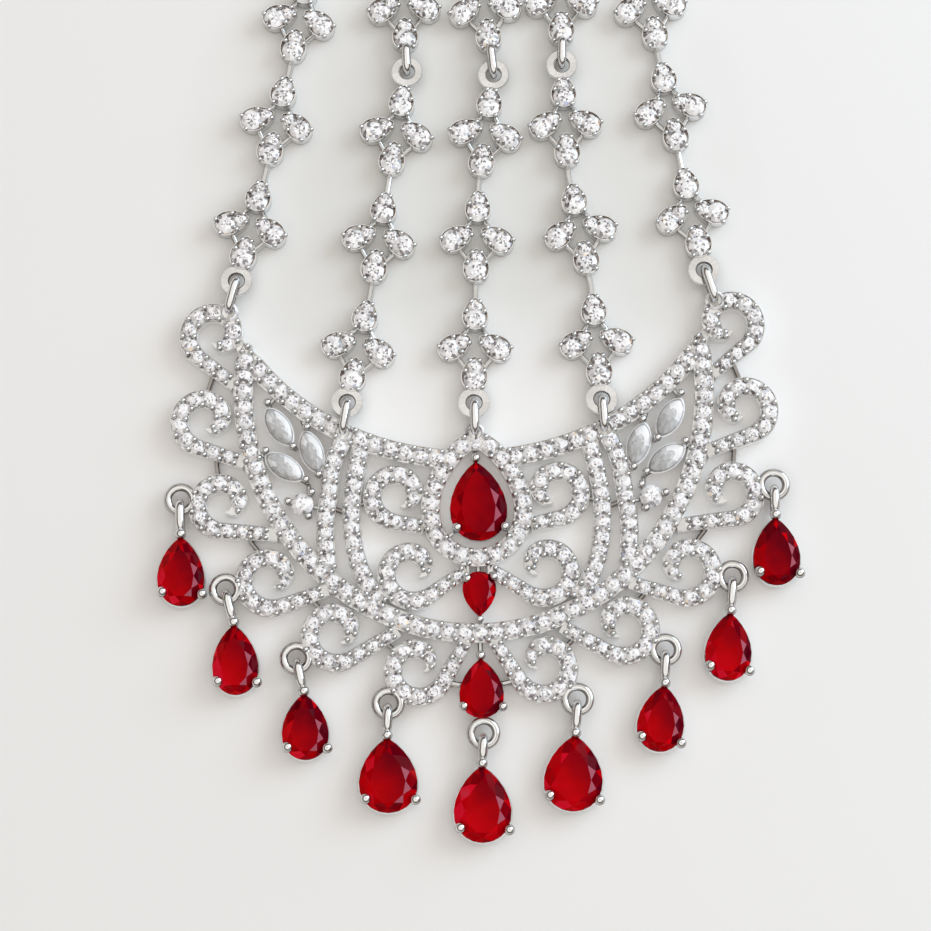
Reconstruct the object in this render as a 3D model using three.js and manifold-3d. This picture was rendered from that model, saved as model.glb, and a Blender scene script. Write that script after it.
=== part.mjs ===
// Jhoomar, a crescent side-head jewel, lying on its back with the stones up.
// Millimetres, +Z up. The crescent's lower band crosses the origin and the strands run towards +Y.
import * as THREE from "three";
import { mergeVertices } from "three/addons/utils/BufferGeometryUtils.js";
import { ConvexGeometry } from "three/addons/geometries/ConvexGeometry.js";
import Module from "manifold-3d";

const wasm = await Module();
wasm.setup();

// Crescent frame
const FINEST = 0.04;
const FRAME_HIGH = 1.75;
const LOWER_BAND = { centreY: 25.5, halfWidth: 24.0, depth: 25.6, across: 2.05 };
const UPPER_BAND = { centreY: 42.0, halfWidth: 27.5, depth: 24.0, across: 2.05 };
const HORN = { deg: 12, share: 0.45, widen: 28 };
const ARM = { fromDeg: 206.8, toDeg: 262.5 };
const HALO = { tipY: 20.2, length: 12.48, width: 9.6, fullness: 0.5, across: 1.95 };
const DIVIDER_ACROSS = 1.85;
const SCROLL_ACROSS = 1.9;
const SCROLL_ROOT = 1.4;
const SCROLL_TIP = 0.5;
const STUB = { across: 0.7, high: 0.9 };

// Drops: their rings on the frame, bails and settings
const DROP_RING = { radius: 1.28, wire: 0.4, height: 1.42 };
const BAIL = { wire: 0.36, rise: 1.03 };
const PRONG = { radius: 0.38, tip: 0.26, top: 2.45 };
const GALLERY = { low: 0.45, high: 1.2, lip: 0.34, reach: 0.5, wall: 0.7 };
const GIRDLE_HIGH = 2.0;
const TABLE_HIGH = 2.9;
const CULET_HIGH = 0.3;
const SEAT_GAP = 0.14;
const DROP_FULLNESS = 0.55;
const FRAME_STONE_FULLNESS = 0.6;

// Strands
const BODY = 10.0;
const PETAL = { sides: 8, high: 1.75, fullness: 0.5 };
const BAR = { across: 0.65, high: 0.95 };
const WASHER = { radius: 1.68, hole: 0.8, low: 1.05, high: 1.6 };
const LINK = { wire: 0.36, rise: 0.98, height: 1.375 };

// Hook bar
const HOOK_BAR = { x: 1.4, y: 77.3, half: 19.4, bow: -0.0045, across: 1.7, high: 1.5 };
const HOOK = { radius: 3.75, wire: 0.7, stem: 4.4, gapDeg: 62 };

// The scrolls of one side: where each leaves its neighbour, the eye it winds round, its first
// radius, how much it tightens, its last radius as a share, and the bearing of its tip.
const SCROLLS = [
  { rootX: -24.7, rootY: 26.35, eyeX: -26.91, eyeY: 31.89, radius: 2.94, tight: 0.4, last: 0.27, tip: -109 },
  { rootX: -23.4, rootY: 18.1, eyeX: -28.02, eyeY: 22.78, radius: 2.91, tight: 0.4, last: 0.27, tip: -88 },
  { rootX: -19.6, rootY: 10.5, eyeX: -26.31, eyeY: 13.88, radius: 2.71, tight: 0.24, last: 0.29, tip: -69 },
  { rootX: -15.5, rootY: 4.8, eyeX: -21.48, eyeY: 5.96, radius: 3.03, tight: 0.4, last: 0.27, tip: -64 },
  { rootX: -8.4, rootY: 0.4, eyeX: -14.86, eyeY: 0.14, radius: 3.04, tight: 0.4, last: 0.35, tip: -57 },
  { rootX: -1.3, rootY: -0.6, eyeX: -6.37, eyeY: -3.73, radius: 2.78, tight: 0.05, last: 0.2, tip: -13 },
  { rootX: -4.6, rootY: 10.9, eyeX: -8.24, eyeY: 14.4, radius: 2.76, tight: 0.34, last: 0.4, tip: -74 },
  { rootX: -1.2, rootY: 6.5, eyeX: -6.84, eyeY: 6.29, radius: 2.98, tight: 0.3, last: 0.28, tip: -31 },
];

// The dividers of one side, top to bottom.
const OUTER_DIVIDER = [
  { x: -13.6, y: 20.6 },
  { x: -14.8, y: 17.85 },
  { x: -15.3, y: 14.4 },
  { x: -15.7, y: 10.8 },
  { x: -15.4, y: 6.6 },
];
const INNER_DIVIDER = [
  { x: -11.7, y: 20.2 },
  { x: -12.75, y: 15.3 },
  { x: -12.95, y: 11.5 },
  { x: -12.5, y: 8.1 },
  { x: -11.4, y: 5.2 },
  { x: -10.0, y: 3.0 },
];

// Short soldered stubs of one side that tie neighbours together.
const STUBS = [
  { fromX: -27.0, fromY: 28.3, toX: -27.9, toY: 25.6 },
  { fromX: -27.0, fromY: 19.2, toX: -26.7, toY: 16.6 },
  { fromX: -23.9, fromY: 10.6, toX: -22.3, toY: 8.6 },
  { fromX: -17.6, fromY: 4.2, toX: -16.0, toY: 2.6 },
  { fromX: -10.0, fromY: -0.5, toX: -8.3, toY: -2.0 },
  { fromX: -4.3, fromY: -5.2, toX: -1.6, toY: -5.2 },
  { fromX: -15.0, fromY: 13.4, toX: -12.9, toY: 12.6 },
  { fromX: -12.9, fromY: 13.6, toX: -10.4, toY: 13.9 },
];

// Clear stones of one side: centre, size, bearing of the long axis.
const MARQUISE = { length: 4.85, width: 2.5, point: 1.3, girdle: 1.55, table: 2.15, keel: 0.95 };
const MARQUISES = [
  { name: "upper", x: -20.32, y: 21.95, deg: -58 },
  { name: "inner", x: -16.96, y: 19.23, deg: -72 },
  { name: "lower", x: -19.79, y: 17.69, deg: -34 },
];
const ROUND_STONE = { x: -18.03, y: 13.71, radius: 1.17, girdle: 1.55, table: 2.15, keel: 0.95 };

// Seat bars under the clear stones of one side, and the prongs that hold those stones.
const SEAT_BARS = [
  { fromX: -22.2, fromY: 26.2, toX: -18.55, toY: 19.6 },
  { fromX: -18.1, fromY: 23.1, toX: -15.25, toY: 15.7 },
  { fromX: -23.2, fromY: 19.9, toX: -17.4, toY: 16.0 },
  { fromX: -17.4, fromY: 16.0, toX: -17.3, toY: 12.4 },
  { fromX: -19.7, fromY: 14.1, toX: -15.4, toY: 13.3 },
];
const SIDE_PRONGS = [
  { x: -21.6, y: 24.6 },
  { x: -18.75, y: 19.4 },
  { x: -17.55, y: 22.0 },
  { x: -15.95, y: 16.5 },
  { x: -22.0, y: 19.4 },
  { x: -17.45, y: 16.0 },
  { x: -19.55, y: 14.05 },
  { x: -17.0, y: 14.95 },
  { x: -17.3, y: 12.35 },
];

// Red stones of the frame: tip, the way the tip points (1 up, -1 down), size.
const RED_STONES = [
  { name: "centre_red_pear", tipY: 17.7, up: 1, length: 8.28, width: 5.95, prongDeg: 132, ties: true },
  { name: "small_red_pear", tipY: 1.65, up: -1, length: 4.65, width: 3.48, prongDeg: 135, ties: false },
  { name: "lower_red_pear", tipY: -2.77, up: 1, length: 6.03, width: 4.58, prongDeg: 128, ties: false },
];

// Drops: the ring on the frame, then the stone's tip and foot.
const DROPS = [
  { ringX: -30.61, ringY: 14.56, tipX: -30.53, tipY: 10.53, footX: -30.62, footY: 3.43, width: 4.83 },
  { ringX: -26.04, ringY: 5.07, tipX: -25.15, tipY: 1.28, footX: -25.01, footY: -5.84, width: 4.7 },
  { ringX: -18.85, ringY: -2.21, tipX: -18.09, tipY: -5.96, footX: -17.97, footY: -12.62, width: 4.77 },
  { ringX: -9.55, ringY: -7.04, tipX: -9.72, tipY: -10.64, footX: -9.66, footY: -18.16, width: 5.97 },
  { ringX: 0.1, ringY: -10.32, tipX: -0.15, tipY: -13.71, footX: -0.24, footY: -21.39, width: 5.86 },
  { ringX: 9.75, ringY: -7.1, tipX: 9.38, tipY: -10.85, footX: 8.83, footY: -18.45, width: 5.97 },
  { ringX: 18.9, ringY: -2.25, tipX: 18.62, tipY: -6.0, footX: 17.74, footY: -12.65, width: 4.77 },
  { ringX: 26.1, ringY: 5.15, tipX: 25.65, tipY: 1.27, footX: 25.05, footY: -5.6, width: 4.75 },
  { ringX: 30.75, ringY: 14.6, tipX: 30.7, tipY: 11.05, footX: 30.7, footY: 4.1, width: 4.83 },
];

// Strands: the eyelet on the frame, then the foot ring, the bars between clusters and the top ring.
const STRANDS = [
  { eyeX: -25.5, eyeY: 34.35, lower: [[-24.6, 37.7], [-21.5, 49.4], [-18.8, 60.9], [-16.3, 72.75]] },
  { eyeX: -13.75, eyeY: 21.2, lower: [[-13.2, 24.4], [-10.6, 36.1], [-8.5, 48.0], [-6.25, 60.2]],
    upper: [[-6.25, 60.2], [-6.6, 74.0]] },
  { eyeX: 0, eyeY: 20.84, lower: [[0, 24.04], [0.45, 36.1], [1.06, 47.7], [2.95, 59.64]],
    upper: [[2.95, 59.64], [1.55, 73.9]] },
  { eyeX: 13.45, eyeY: 20.9, lower: [[13.3, 24.1], [12.6, 36.4], [10.6, 48.6], [10.25, 60.56]],
    upper: [[10.25, 60.56], [10.6, 74.3]] },
  { eyeX: 25.5, eyeY: 34.35, lower: [[24.5, 37.7], [22.5, 49.8], [20.6, 61.6], [19.1, 73.0]] },
];

// Petals of a cluster: tip, bearing in which the round end lies, size.
const PETALS = [
  { tipX: 0, tipY: 3.7, deg: -90, length: 3.7, width: 2.85 },
  { tipX: -0.4, tipY: 5.75, deg: -150, length: 3.85, width: 2.7 },
  { tipX: 0.4, tipY: 5.75, deg: -30, length: 3.85, width: 2.7 },
  { tipX: 0, tipY: 10.0, deg: -90, length: 3.5, width: 2.8 },
];
const HEART_SHARE = 0.62;

const METAL = { color: 0xc9c7c4, roughness: 0.24, metalness: 1.0 };
const CLEAR = { color: 0xdfe3e8, roughness: 0.06, metalness: 0.0 };
const RED = { color: 0x6e0614, roughness: 0.05, metalness: 0.0 };

const vec = (x, y) => new THREE.Vector2(x, y);
const rad = THREE.MathUtils.degToRad;

// Turns a closed geometry into a solid that can be joined and cut.
function solid(geometry) {
  const bare = new THREE.BufferGeometry();
  bare.setAttribute("position", geometry.getAttribute("position"));
  bare.setIndex(geometry.getIndex());
  const welded = mergeVertices(bare, 1e-4);
  const corners = welded.getIndex().array;
  const kept = [];
  for (let i = 0; i < corners.length; i += 3) {
    const [a, b, c] = corners.slice(i, i + 3);
    if (a !== b && b !== c && c !== a) kept.push(a, b, c);
  }
  return new wasm.Manifold(new wasm.Mesh({
    numProp: 3,
    vertProperties: new Float32Array(welded.getAttribute("position").array),
    triVerts: new Uint32Array(kept),
  }));
}

const join = (solids) => solids.reduce((whole, next) => whole.add(next));

function piece(name, body, look) {
  const mesh = body.simplify(FINEST).getMesh();
  const geometry = new THREE.BufferGeometry();
  geometry.setAttribute("position", new THREE.BufferAttribute(mesh.vertProperties, 3));
  geometry.setIndex(new THREE.BufferAttribute(mesh.triVerts, 1));
  geometry.computeVertexNormals();
  const made = new THREE.Mesh(geometry, new THREE.MeshStandardMaterial(look));
  made.name = name;
  return made;
}

// A flat outline, with holes, raised from one height to another.
function plate(outline, low, high, holes = []) {
  const shape = new THREE.Shape(THREE.ShapeUtils.isClockWise(outline) ? [...outline].reverse() : outline);
  holes.forEach((hole) => shape.holes.push(new THREE.Path(hole)));
  const geometry = new THREE.ExtrudeGeometry(shape, { depth: high - low, bevelEnabled: false });
  return solid(geometry.translate(0, 0, low));
}

// A strip that follows a spine; across gives its width at each share of the length.
function ribbon(spine, across, low, high) {
  const left = [];
  const right = [];
  spine.forEach((point, i) => {
    const before = spine[Math.max(i - 1, 0)];
    const after = spine[Math.min(i + 1, spine.length - 1)];
    const along = after.clone().sub(before).normalize();
    const side = vec(-along.y, along.x).multiplyScalar(across(i / (spine.length - 1)) / 2);
    left.push(point.clone().add(side));
    right.unshift(point.clone().sub(side));
  });
  return plate([...left, ...right], low, high);
}

const strip = (from, to, across, low, high) => ribbon([from, to], () => across, low, high);

const circle = (x, y, radius, sides) => Array.from({ length: sides }, (_, i) => {
  const turn = (i / sides) * 2 * Math.PI;
  return vec(x + radius * Math.cos(turn), y + radius * Math.sin(turn));
});

// A pear outline with its tip at the origin and its round end down.
function pearPoint(turn, length, width, fullness) {
  const curve = (t) => Math.sin(t) * Math.abs(Math.sin(t / 2)) ** fullness;
  const widest = curve(Math.acos(-fullness / (2 + fullness)));
  return vec((width / 2) * (curve(turn) / widest), (-length / 2) * (1 - Math.cos(turn)));
}

const pear = (length, width, sides, fullness) => Array.from({ length: sides }, (_, i) => (
  pearPoint((i / sides) * 2 * Math.PI, length, width, fullness)
));

const moved = (points, deg, x, y) => points.map((p) => (
  p.clone().rotateAround(vec(0, 0), rad(deg)).add(vec(x, y))
));

const shrunk = (points, centre, share) => points.map((p) => (
  p.clone().sub(centre).multiplyScalar(share).add(centre)
));

const lifted = (points, height) => points.map((p) => new THREE.Vector3(p.x, p.y, height));

// A cut stone: girdle outline, a smaller table above it and a keel point below.
function cutStone(outline, heart, tableShare, heights) {
  return solid(new ConvexGeometry([
    ...lifted(outline, heights.girdle),
    ...lifted(shrunk(outline, heart, tableShare), heights.table),
    new THREE.Vector3(heart.x, heart.y, heights.keel),
  ]));
}

function prong(x, y, low, high) {
  const post = new THREE.CylinderGeometry(PRONG.tip, PRONG.radius, high - low, 4);
  return solid(post.rotateX(Math.PI / 2).translate(x, y, (low + high) / 2));
}

// A wire loop that stands on edge, its length lying along a bearing between two points.
function standingLoop(from, to, wire, rise, height) {
  const loop = new THREE.TorusGeometry(rise, wire, 5, 10);
  const half = from.distanceTo(to) / 2 - rise;
  const position = loop.getAttribute("position");
  for (let i = 0; i < position.count; i += 1) {
    const x = position.getX(i);
    if (Math.abs(x) > 1e-6) position.setX(i, x + Math.sign(x) * half);
  }
  loop.rotateX(Math.PI / 2);
  loop.rotateZ(Math.atan2(to.y - from.y, to.x - from.x));
  return solid(loop.translate((from.x + to.x) / 2, (from.y + to.y) / 2, height));
}

const mirrored = (body) => body.mirror([1, 0, 0]);

// The spine of a scroll: straight from its root to its eye's first circle, then winding in.
function scrollSpine(row) {
  const root = vec(row.rootX, row.rootY);
  const eye = vec(row.eyeX, row.eyeY);
  const out = root.clone().sub(eye);
  const start = Math.atan2(out.y, out.x) - Math.acos(row.radius / out.length());
  let end = rad(row.tip);
  while (end > start - Math.PI) end -= 2 * Math.PI;
  const turns = 10;
  const winding = Array.from({ length: turns + 1 }, (_, i) => {
    const share = i / turns;
    const inward = row.tight * share + (1 - row.tight - row.last) * share ** 4;
    const bearing = start + (end - start) * share;
    return vec(Math.cos(bearing), Math.sin(bearing)).multiplyScalar(row.radius * (1 - inward)).add(eye);
  });
  return [root, ...winding];
}

function scrollWidth(share) {
  if (share < 0.12) return THREE.MathUtils.lerp(SCROLL_ROOT, SCROLL_ACROSS, share / 0.12);
  if (share < 0.76) return SCROLL_ACROSS;
  return THREE.MathUtils.lerp(SCROLL_ACROSS, SCROLL_TIP, (share - 0.76) / 0.24);
}

const ellipseSpine = (band, fromDeg, toDeg, steps) => Array.from({ length: steps + 1 }, (_, i) => {
  const turn = rad(fromDeg + ((toDeg - fromDeg) * i) / steps);
  return vec(band.halfWidth * Math.cos(turn), band.centreY + band.depth * Math.sin(turn));
});

const throughRows = (rows, steps) => new THREE.SplineCurve(rows.map((r) => vec(r.x, r.y))).getPoints(steps);

// Everything of the frame that repeats on both sides, built for the left side.
function frameSide() {
  const upperSpine = ellipseSpine(UPPER_BAND, ARM.fromDeg, ARM.toDeg, 11);
  const parts = [ribbon(upperSpine, (s) => UPPER_BAND.across * Math.min(1, 0.45 + 4 * s), 0, FRAME_HIGH)];
  SCROLLS.forEach((row) => parts.push(ribbon(scrollSpine(row), scrollWidth, 0, FRAME_HIGH)));
  [[OUTER_DIVIDER, 6], [INNER_DIVIDER, 7]].forEach(([rows, steps]) => {
    parts.push(ribbon(throughRows(rows, steps), () => DIVIDER_ACROSS, 0, FRAME_HIGH));
  });
  STUBS.forEach((s) => {
    parts.push(strip(vec(s.fromX, s.fromY), vec(s.toX, s.toY), STUB.across, 0, STUB.high));
  });
  SEAT_BARS.forEach((s) => {
    parts.push(strip(vec(s.fromX, s.fromY), vec(s.toX, s.toY), 0.8, 0, 0.6));
  });
  SIDE_PRONGS.forEach((p) => parts.push(prong(p.x, p.y, 0.3, 1.95)));
  return join(parts);
}

const heartOf = (stone) => vec(0, stone.tipY - stone.up * stone.length * HEART_SHARE);

function redOutline(stone, grow, sides = 11) {
  const outline = pear(stone.length + 2 * grow, stone.width + 2 * grow, sides, FRAME_STONE_FULLNESS);
  return moved(outline, stone.up > 0 ? 0 : 180, 0, stone.tipY + stone.up * grow);
}

// Where a red stone's side prong stands, outside its girdle.
function sideProngs(length, width, deg, fullness) {
  const at = pearPoint(rad(deg), length, width, fullness);
  const heart = vec(0, -length * HEART_SHARE);
  const out = at.clone().sub(heart).normalize();
  const right = at.clone().addScaledVector(out, SEAT_GAP + PRONG.tip);
  return [right, vec(-right.x, right.y)];
}

function redSeat(stone) {
  const lip = moved(redOutline(stone, GALLERY.lip), 0, 0, 0);
  lip[0].y += stone.up * GALLERY.reach;
  const parts = [plate(lip, 0.3, 1.0, [redOutline(stone, -GALLERY.wall, 8)])];
  const heart = heartOf(stone);
  const sides = sideProngs(stone.length, stone.width, stone.prongDeg, FRAME_STONE_FULLNESS);
  [...sides, vec(0, SEAT_GAP + PRONG.radius)].forEach((p) => {
    const at = vec(p.x, stone.tipY + stone.up * p.y);
    parts.push(prong(at.x, at.y, 0.3, PRONG.top));
    if (!stone.ties) return;
    const out = at.clone().sub(heart).normalize();
    const inner = at.clone().addScaledVector(out, -0.5);
    parts.push(strip(inner, at.clone().addScaledVector(out, 1.5), 0.8, 0.3, 1.0));
  });
  return join(parts);
}

function crescentFrame() {
  const lowerSpine = ellipseSpine(LOWER_BAND, 180 - HORN.deg, 360 + HORN.deg, 32);
  const horn = (s) => Math.min(1, HORN.share + HORN.widen * Math.min(s, 1 - s));
  const left = frameSide();
  const haloOuter = moved(pear(HALO.length + HALO.across, HALO.width + HALO.across, 20, HALO.fullness),
    0, 0, HALO.tipY + HALO.across / 2);
  const haloInner = moved(pear(HALO.length - HALO.across, HALO.width - HALO.across, 20, HALO.fullness),
    0, 0, HALO.tipY - HALO.across / 2);
  const parts = [
    ribbon(lowerSpine, (s) => LOWER_BAND.across * horn(s), 0, FRAME_HIGH),
    left,
    mirrored(left),
    plate(haloOuter, 0, FRAME_HIGH, [haloInner]),
    ...RED_STONES.map(redSeat),
    strip(vec(0, 7.6), vec(0, 0.3), 0.9, 0, 0.5),
    strip(vec(0, -0.3), vec(0, -9.0), 0.9, 0, 0.5),
    strip(vec(0, -8.2), vec(0.05, -9.3), 0.9, 0.4, 1.5),
  ];
  DROPS.forEach((d) => {
    const ring = new THREE.TorusGeometry(DROP_RING.radius, DROP_RING.wire, 5, 10);
    parts.push(solid(ring.translate(d.ringX, d.ringY, DROP_RING.height)));
  });
  STRANDS.forEach((s) => parts.push(plate(circle(s.eyeX, s.eyeY, 1.15, 9), 1.05, FRAME_HIGH)));
  let frame = join(parts);
  STRANDS.forEach((s) => {
    const eye = vec(s.eyeX, s.eyeY);
    const foot = vec(...s.lower[0]);
    const inward = eye.clone().sub(foot).setLength(0.75).add(eye);
    frame = frame.subtract(plate(circle(s.eyeX, s.eyeY, 0.7, 8), -1, 3));
    frame = frame.subtract(strip(inward, foot, 1.4, -1, 1.05));
  });
  return frame;
}

// One drop's metal: gallery, three prongs and the bail that hangs in the frame's ring.
function dropSetting(drop) {
  const tip = vec(drop.tipX, drop.tipY);
  const ring = vec(drop.ringX, drop.ringY);
  const length = tip.distanceTo(vec(drop.footX, drop.footY));
  const lean = THREE.MathUtils.radToDeg(Math.atan2(drop.footX - drop.tipX, drop.tipY - drop.footY));
  const place = (points) => moved(points, lean, drop.tipX, drop.tipY);
  const outer = place(pear(length + 2 * GALLERY.lip, drop.width + 2 * GALLERY.lip, 11, DROP_FULLNESS)
    .map((p, i) => p.add(vec(0, GALLERY.lip + (i ? 0 : GALLERY.reach)))));
  const inner = place(pear(length - 2 * GALLERY.wall, drop.width - 2 * GALLERY.wall, 8, DROP_FULLNESS)
    .map((p) => p.add(vec(0, -GALLERY.wall))));
  const crown = vec(0, SEAT_GAP + PRONG.radius);
  const posts = place([...sideProngs(length, drop.width, 132, DROP_FULLNESS), crown]);
  const away = ring.clone().sub(tip).normalize();
  const far = ring.clone().addScaledVector(away, -0.27);
  const near = tip.clone().addScaledVector(away, 0.6);
  return join([
    plate(outer, GALLERY.low, GALLERY.high, [inner]),
    ...posts.map((p) => prong(p.x, p.y, GALLERY.low, PRONG.top)),
    standingLoop(near, far, BAIL.wire, BAIL.rise, DROP_RING.height),
  ]);
}

function dropStone(drop) {
  const length = vec(drop.tipX, drop.tipY).distanceTo(vec(drop.footX, drop.footY));
  const lean = THREE.MathUtils.radToDeg(Math.atan2(drop.footX - drop.tipX, drop.tipY - drop.footY));
  const outline = moved(pear(length, drop.width, 13, DROP_FULLNESS), lean, drop.tipX, drop.tipY);
  const [heart] = moved([vec(0, -length * HEART_SHARE)], lean, drop.tipX, drop.tipY);
  return cutStone(outline, heart, 0.58, { girdle: GIRDLE_HIGH, table: TABLE_HIGH, keel: CULET_HIGH });
}

function marquise(row) {
  const sides = 12;
  const outline = Array.from({ length: sides }, (_, i) => {
    const turn = (i / sides) * 2 * Math.PI;
    const bulge = Math.sign(Math.sin(turn)) * Math.abs(Math.sin(turn)) ** MARQUISE.point;
    return vec((MARQUISE.length / 2) * Math.cos(turn), (MARQUISE.width / 2) * bulge);
  });
  return cutStone(moved(outline, row.deg, row.x, row.y), vec(row.x, row.y), 0.55, MARQUISE);
}

// One cluster's petals and bars, drawn from its foot at the origin up along +Y.
function cluster() {
  const hearts = [];
  const petals = PETALS.map((row) => {
    const cup = pear(row.length, row.width, PETAL.sides, PETAL.fullness);
    const outline = moved(cup, row.deg + 90, row.tipX, row.tipY);
    const [heart] = moved([vec(0, -row.length * HEART_SHARE)], row.deg + 90, row.tipX, row.tipY);
    hearts.push(heart);
    return plate(outline, 0, PETAL.high);
  });
  const [foot, left, right, head] = hearts;
  const bars = [[foot, left], [foot, right], [head, left], [head, right]].map(([from, to]) => (
    strip(from, to, BAR.across, 0, BAR.high)
  ));
  return join([...petals, ...bars]);
}

const CLUSTER = cluster();

function washer(x, y) {
  return plate(circle(x, y, WASHER.radius, 10), WASHER.low, WASHER.high, [circle(x, y, WASHER.hole, 7)]);
}

// One length of a strand: clusters between its knots, a ring on top, a ring or a link at its foot.
function strandLength(knots, linked) {
  const points = knots.map((k) => vec(...k));
  const first = linked ? 2.6 : 1.3;
  const last = 1.6;
  const parts = [];
  points.slice(0, -1).forEach((from, i) => {
    const to = points[i + 1];
    const along = to.clone().sub(from);
    const below = i === 0 ? first : 0.9;
    const above = i === points.length - 2 ? last : 0.9;
    const spare = along.length() - BODY;
    const start = (spare * below) / (below + above);
    along.normalize();
    const deg = THREE.MathUtils.radToDeg(Math.atan2(along.y, along.x)) - 90;
    const foot = from.clone().addScaledVector(along, start);
    parts.push(CLUSTER.rotate([0, 0, deg]).translate([foot.x, foot.y, 0]));
    const crown = foot.clone().addScaledVector(along, BODY - 0.9);
    if (i < points.length - 2) {
      const next = points[i + 2].clone().sub(to).setLength(1.6).add(to);
      parts.push(ribbon([crown, to, next], () => BAR.across, 0, BAR.high));
    } else {
      parts.push(washer(to.x, to.y));
      parts.push(strip(crown, to.clone().addScaledVector(along, -1.0), BAR.across, 0.6, 1.45));
    }
    if (i === 0 && linked) {
      const hang = from.clone().addScaledVector(along, -0.2);
      const grip = foot.clone().addScaledVector(along, 0.6);
      parts.push(standingLoop(hang, grip, LINK.wire, LINK.rise, LINK.height));
    }
    if (i === 0 && !linked) parts.push(washer(from.x, from.y));
  });
  return join(parts);
}

function footLink(strand) {
  const eye = vec(strand.eyeX, strand.eyeY);
  const foot = vec(...strand.lower[0]);
  const along = foot.clone().sub(eye).normalize();
  return standingLoop(eye, foot.addScaledVector(along, 0.2), LINK.wire, LINK.rise, LINK.height);
}

// The plain bar that gathers the strands, with a loop for each and an open hook.
function hairHookBar() {
  const bow = (x) => HOOK_BAR.y + HOOK_BAR.bow * (x - HOOK_BAR.x) ** 2;
  const spine = Array.from({ length: 9 }, (_, i) => {
    const x = HOOK_BAR.x + HOOK_BAR.half * (i / 4 - 1);
    return vec(x, bow(x));
  });
  const tops = STRANDS.map((s) => vec(...(s.upper ?? s.lower).at(-1)));
  const centreY = HOOK_BAR.y + HOOK.stem + HOOK.radius;
  const steps = 20;
  const bend = [new THREE.Vector3(HOOK_BAR.x, HOOK_BAR.y, HOOK.wire + 0.05)];
  for (let i = 0; i <= steps; i += 1) {
    const turn = rad(-90 + ((360 - HOOK.gapDeg) * i) / steps);
    bend.push(new THREE.Vector3(
      HOOK_BAR.x + HOOK.radius * Math.cos(turn), centreY + HOOK.radius * Math.sin(turn), HOOK.wire + 0.05,
    ));
  }
  const path = new THREE.CurvePath();
  bend.slice(1).forEach((p, i) => path.add(new THREE.LineCurve3(bend[i], p)));
  const round = new THREE.Shape(circle(0, 0, HOOK.wire, 6));
  const wire = new THREE.ExtrudeGeometry(round, { steps: 22, bevelEnabled: false, extrudePath: path });
  return join([
    ribbon(spine, () => HOOK_BAR.across, 0, HOOK_BAR.high),
    solid(wire),
    ...tops.map((t) => (
      standingLoop(vec(t.x, t.y - 0.2), vec(t.x, bow(t.x)), LINK.wire, LINK.rise, LINK.height)
    )),
  ]);
}

const group = new THREE.Group();
group.add(piece("crescent_frame", crescentFrame(), METAL));
RED_STONES.forEach((stone) => {
  const heights = { girdle: 1.75, table: stone.ties ? 2.75 : 2.45, keel: 0.55 };
  group.add(piece(stone.name, cutStone(redOutline(stone, 0, 13), heartOf(stone), 0.58, heights), RED));
});
const roundOutline = circle(ROUND_STONE.x, ROUND_STONE.y, ROUND_STONE.radius, 10);
const roundStone = cutStone(roundOutline, vec(ROUND_STONE.x, ROUND_STONE.y), 0.55, ROUND_STONE);
["left", "right"].forEach((side) => {
  const turned = (body) => (side === "left" ? body : mirrored(body));
  MARQUISES.forEach((row) => {
    group.add(piece(`marquise_${row.name}_${side}`, turned(marquise(row)), CLEAR));
  });
  group.add(piece(`round_stone_${side}`, turned(roundStone), CLEAR));
});
DROPS.forEach((drop, i) => {
  group.add(piece(`drop_setting_${i + 1}`, dropSetting(drop), METAL));
  group.add(piece(`drop_stone_${i + 1}`, dropStone(drop), RED));
});
STRANDS.forEach((strand, i) => {
  group.add(piece(`foot_link_${i + 1}`, footLink(strand), METAL));
  group.add(piece(`strand_${i + 1}_lower`, strandLength(strand.lower, false), METAL));
  if (strand.upper) group.add(piece(`strand_${i + 1}_upper`, strandLength(strand.upper, true), METAL));
});
group.add(piece("hair_hook_bar", hairHookBar(), METAL));

export default group;
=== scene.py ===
# %% [markdown]
# # A crescent side-head jewel, dressed for its photograph
# The jewel lies on its back on a pale surface with its stones up. The solids of the shared frame
# give its size and its pieces. This lesson builds the finer things a jeweller adds to them: set
# pavé, bead prongs, rolled rims, faceted stones and round wire.

# %% Load the shared frame
import math
import random

import bpy
from mathutils import Matrix, Vector


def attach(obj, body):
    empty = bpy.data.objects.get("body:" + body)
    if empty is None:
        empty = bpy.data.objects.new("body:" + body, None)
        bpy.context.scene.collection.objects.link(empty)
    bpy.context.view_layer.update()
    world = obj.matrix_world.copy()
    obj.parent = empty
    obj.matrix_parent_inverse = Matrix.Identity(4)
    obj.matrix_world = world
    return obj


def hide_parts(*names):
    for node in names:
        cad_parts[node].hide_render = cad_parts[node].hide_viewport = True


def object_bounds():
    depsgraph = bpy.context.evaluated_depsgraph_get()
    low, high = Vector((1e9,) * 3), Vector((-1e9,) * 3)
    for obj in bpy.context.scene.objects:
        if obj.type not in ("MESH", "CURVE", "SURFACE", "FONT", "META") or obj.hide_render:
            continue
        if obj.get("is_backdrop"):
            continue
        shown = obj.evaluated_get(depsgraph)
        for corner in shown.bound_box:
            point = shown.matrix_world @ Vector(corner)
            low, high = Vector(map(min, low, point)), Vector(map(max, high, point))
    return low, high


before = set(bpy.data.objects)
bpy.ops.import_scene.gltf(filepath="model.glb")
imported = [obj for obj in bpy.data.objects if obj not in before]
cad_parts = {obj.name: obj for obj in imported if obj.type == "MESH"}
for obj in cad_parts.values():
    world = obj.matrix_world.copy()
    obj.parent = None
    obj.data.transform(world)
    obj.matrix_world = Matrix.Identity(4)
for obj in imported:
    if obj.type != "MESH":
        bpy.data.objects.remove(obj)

CAD_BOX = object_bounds()
MM = 0.001
chance = random.Random(4938)
print("solids measure, mm:", [round((b - a) / MM, 2) for a, b in zip(*CAD_BOX)])

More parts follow.
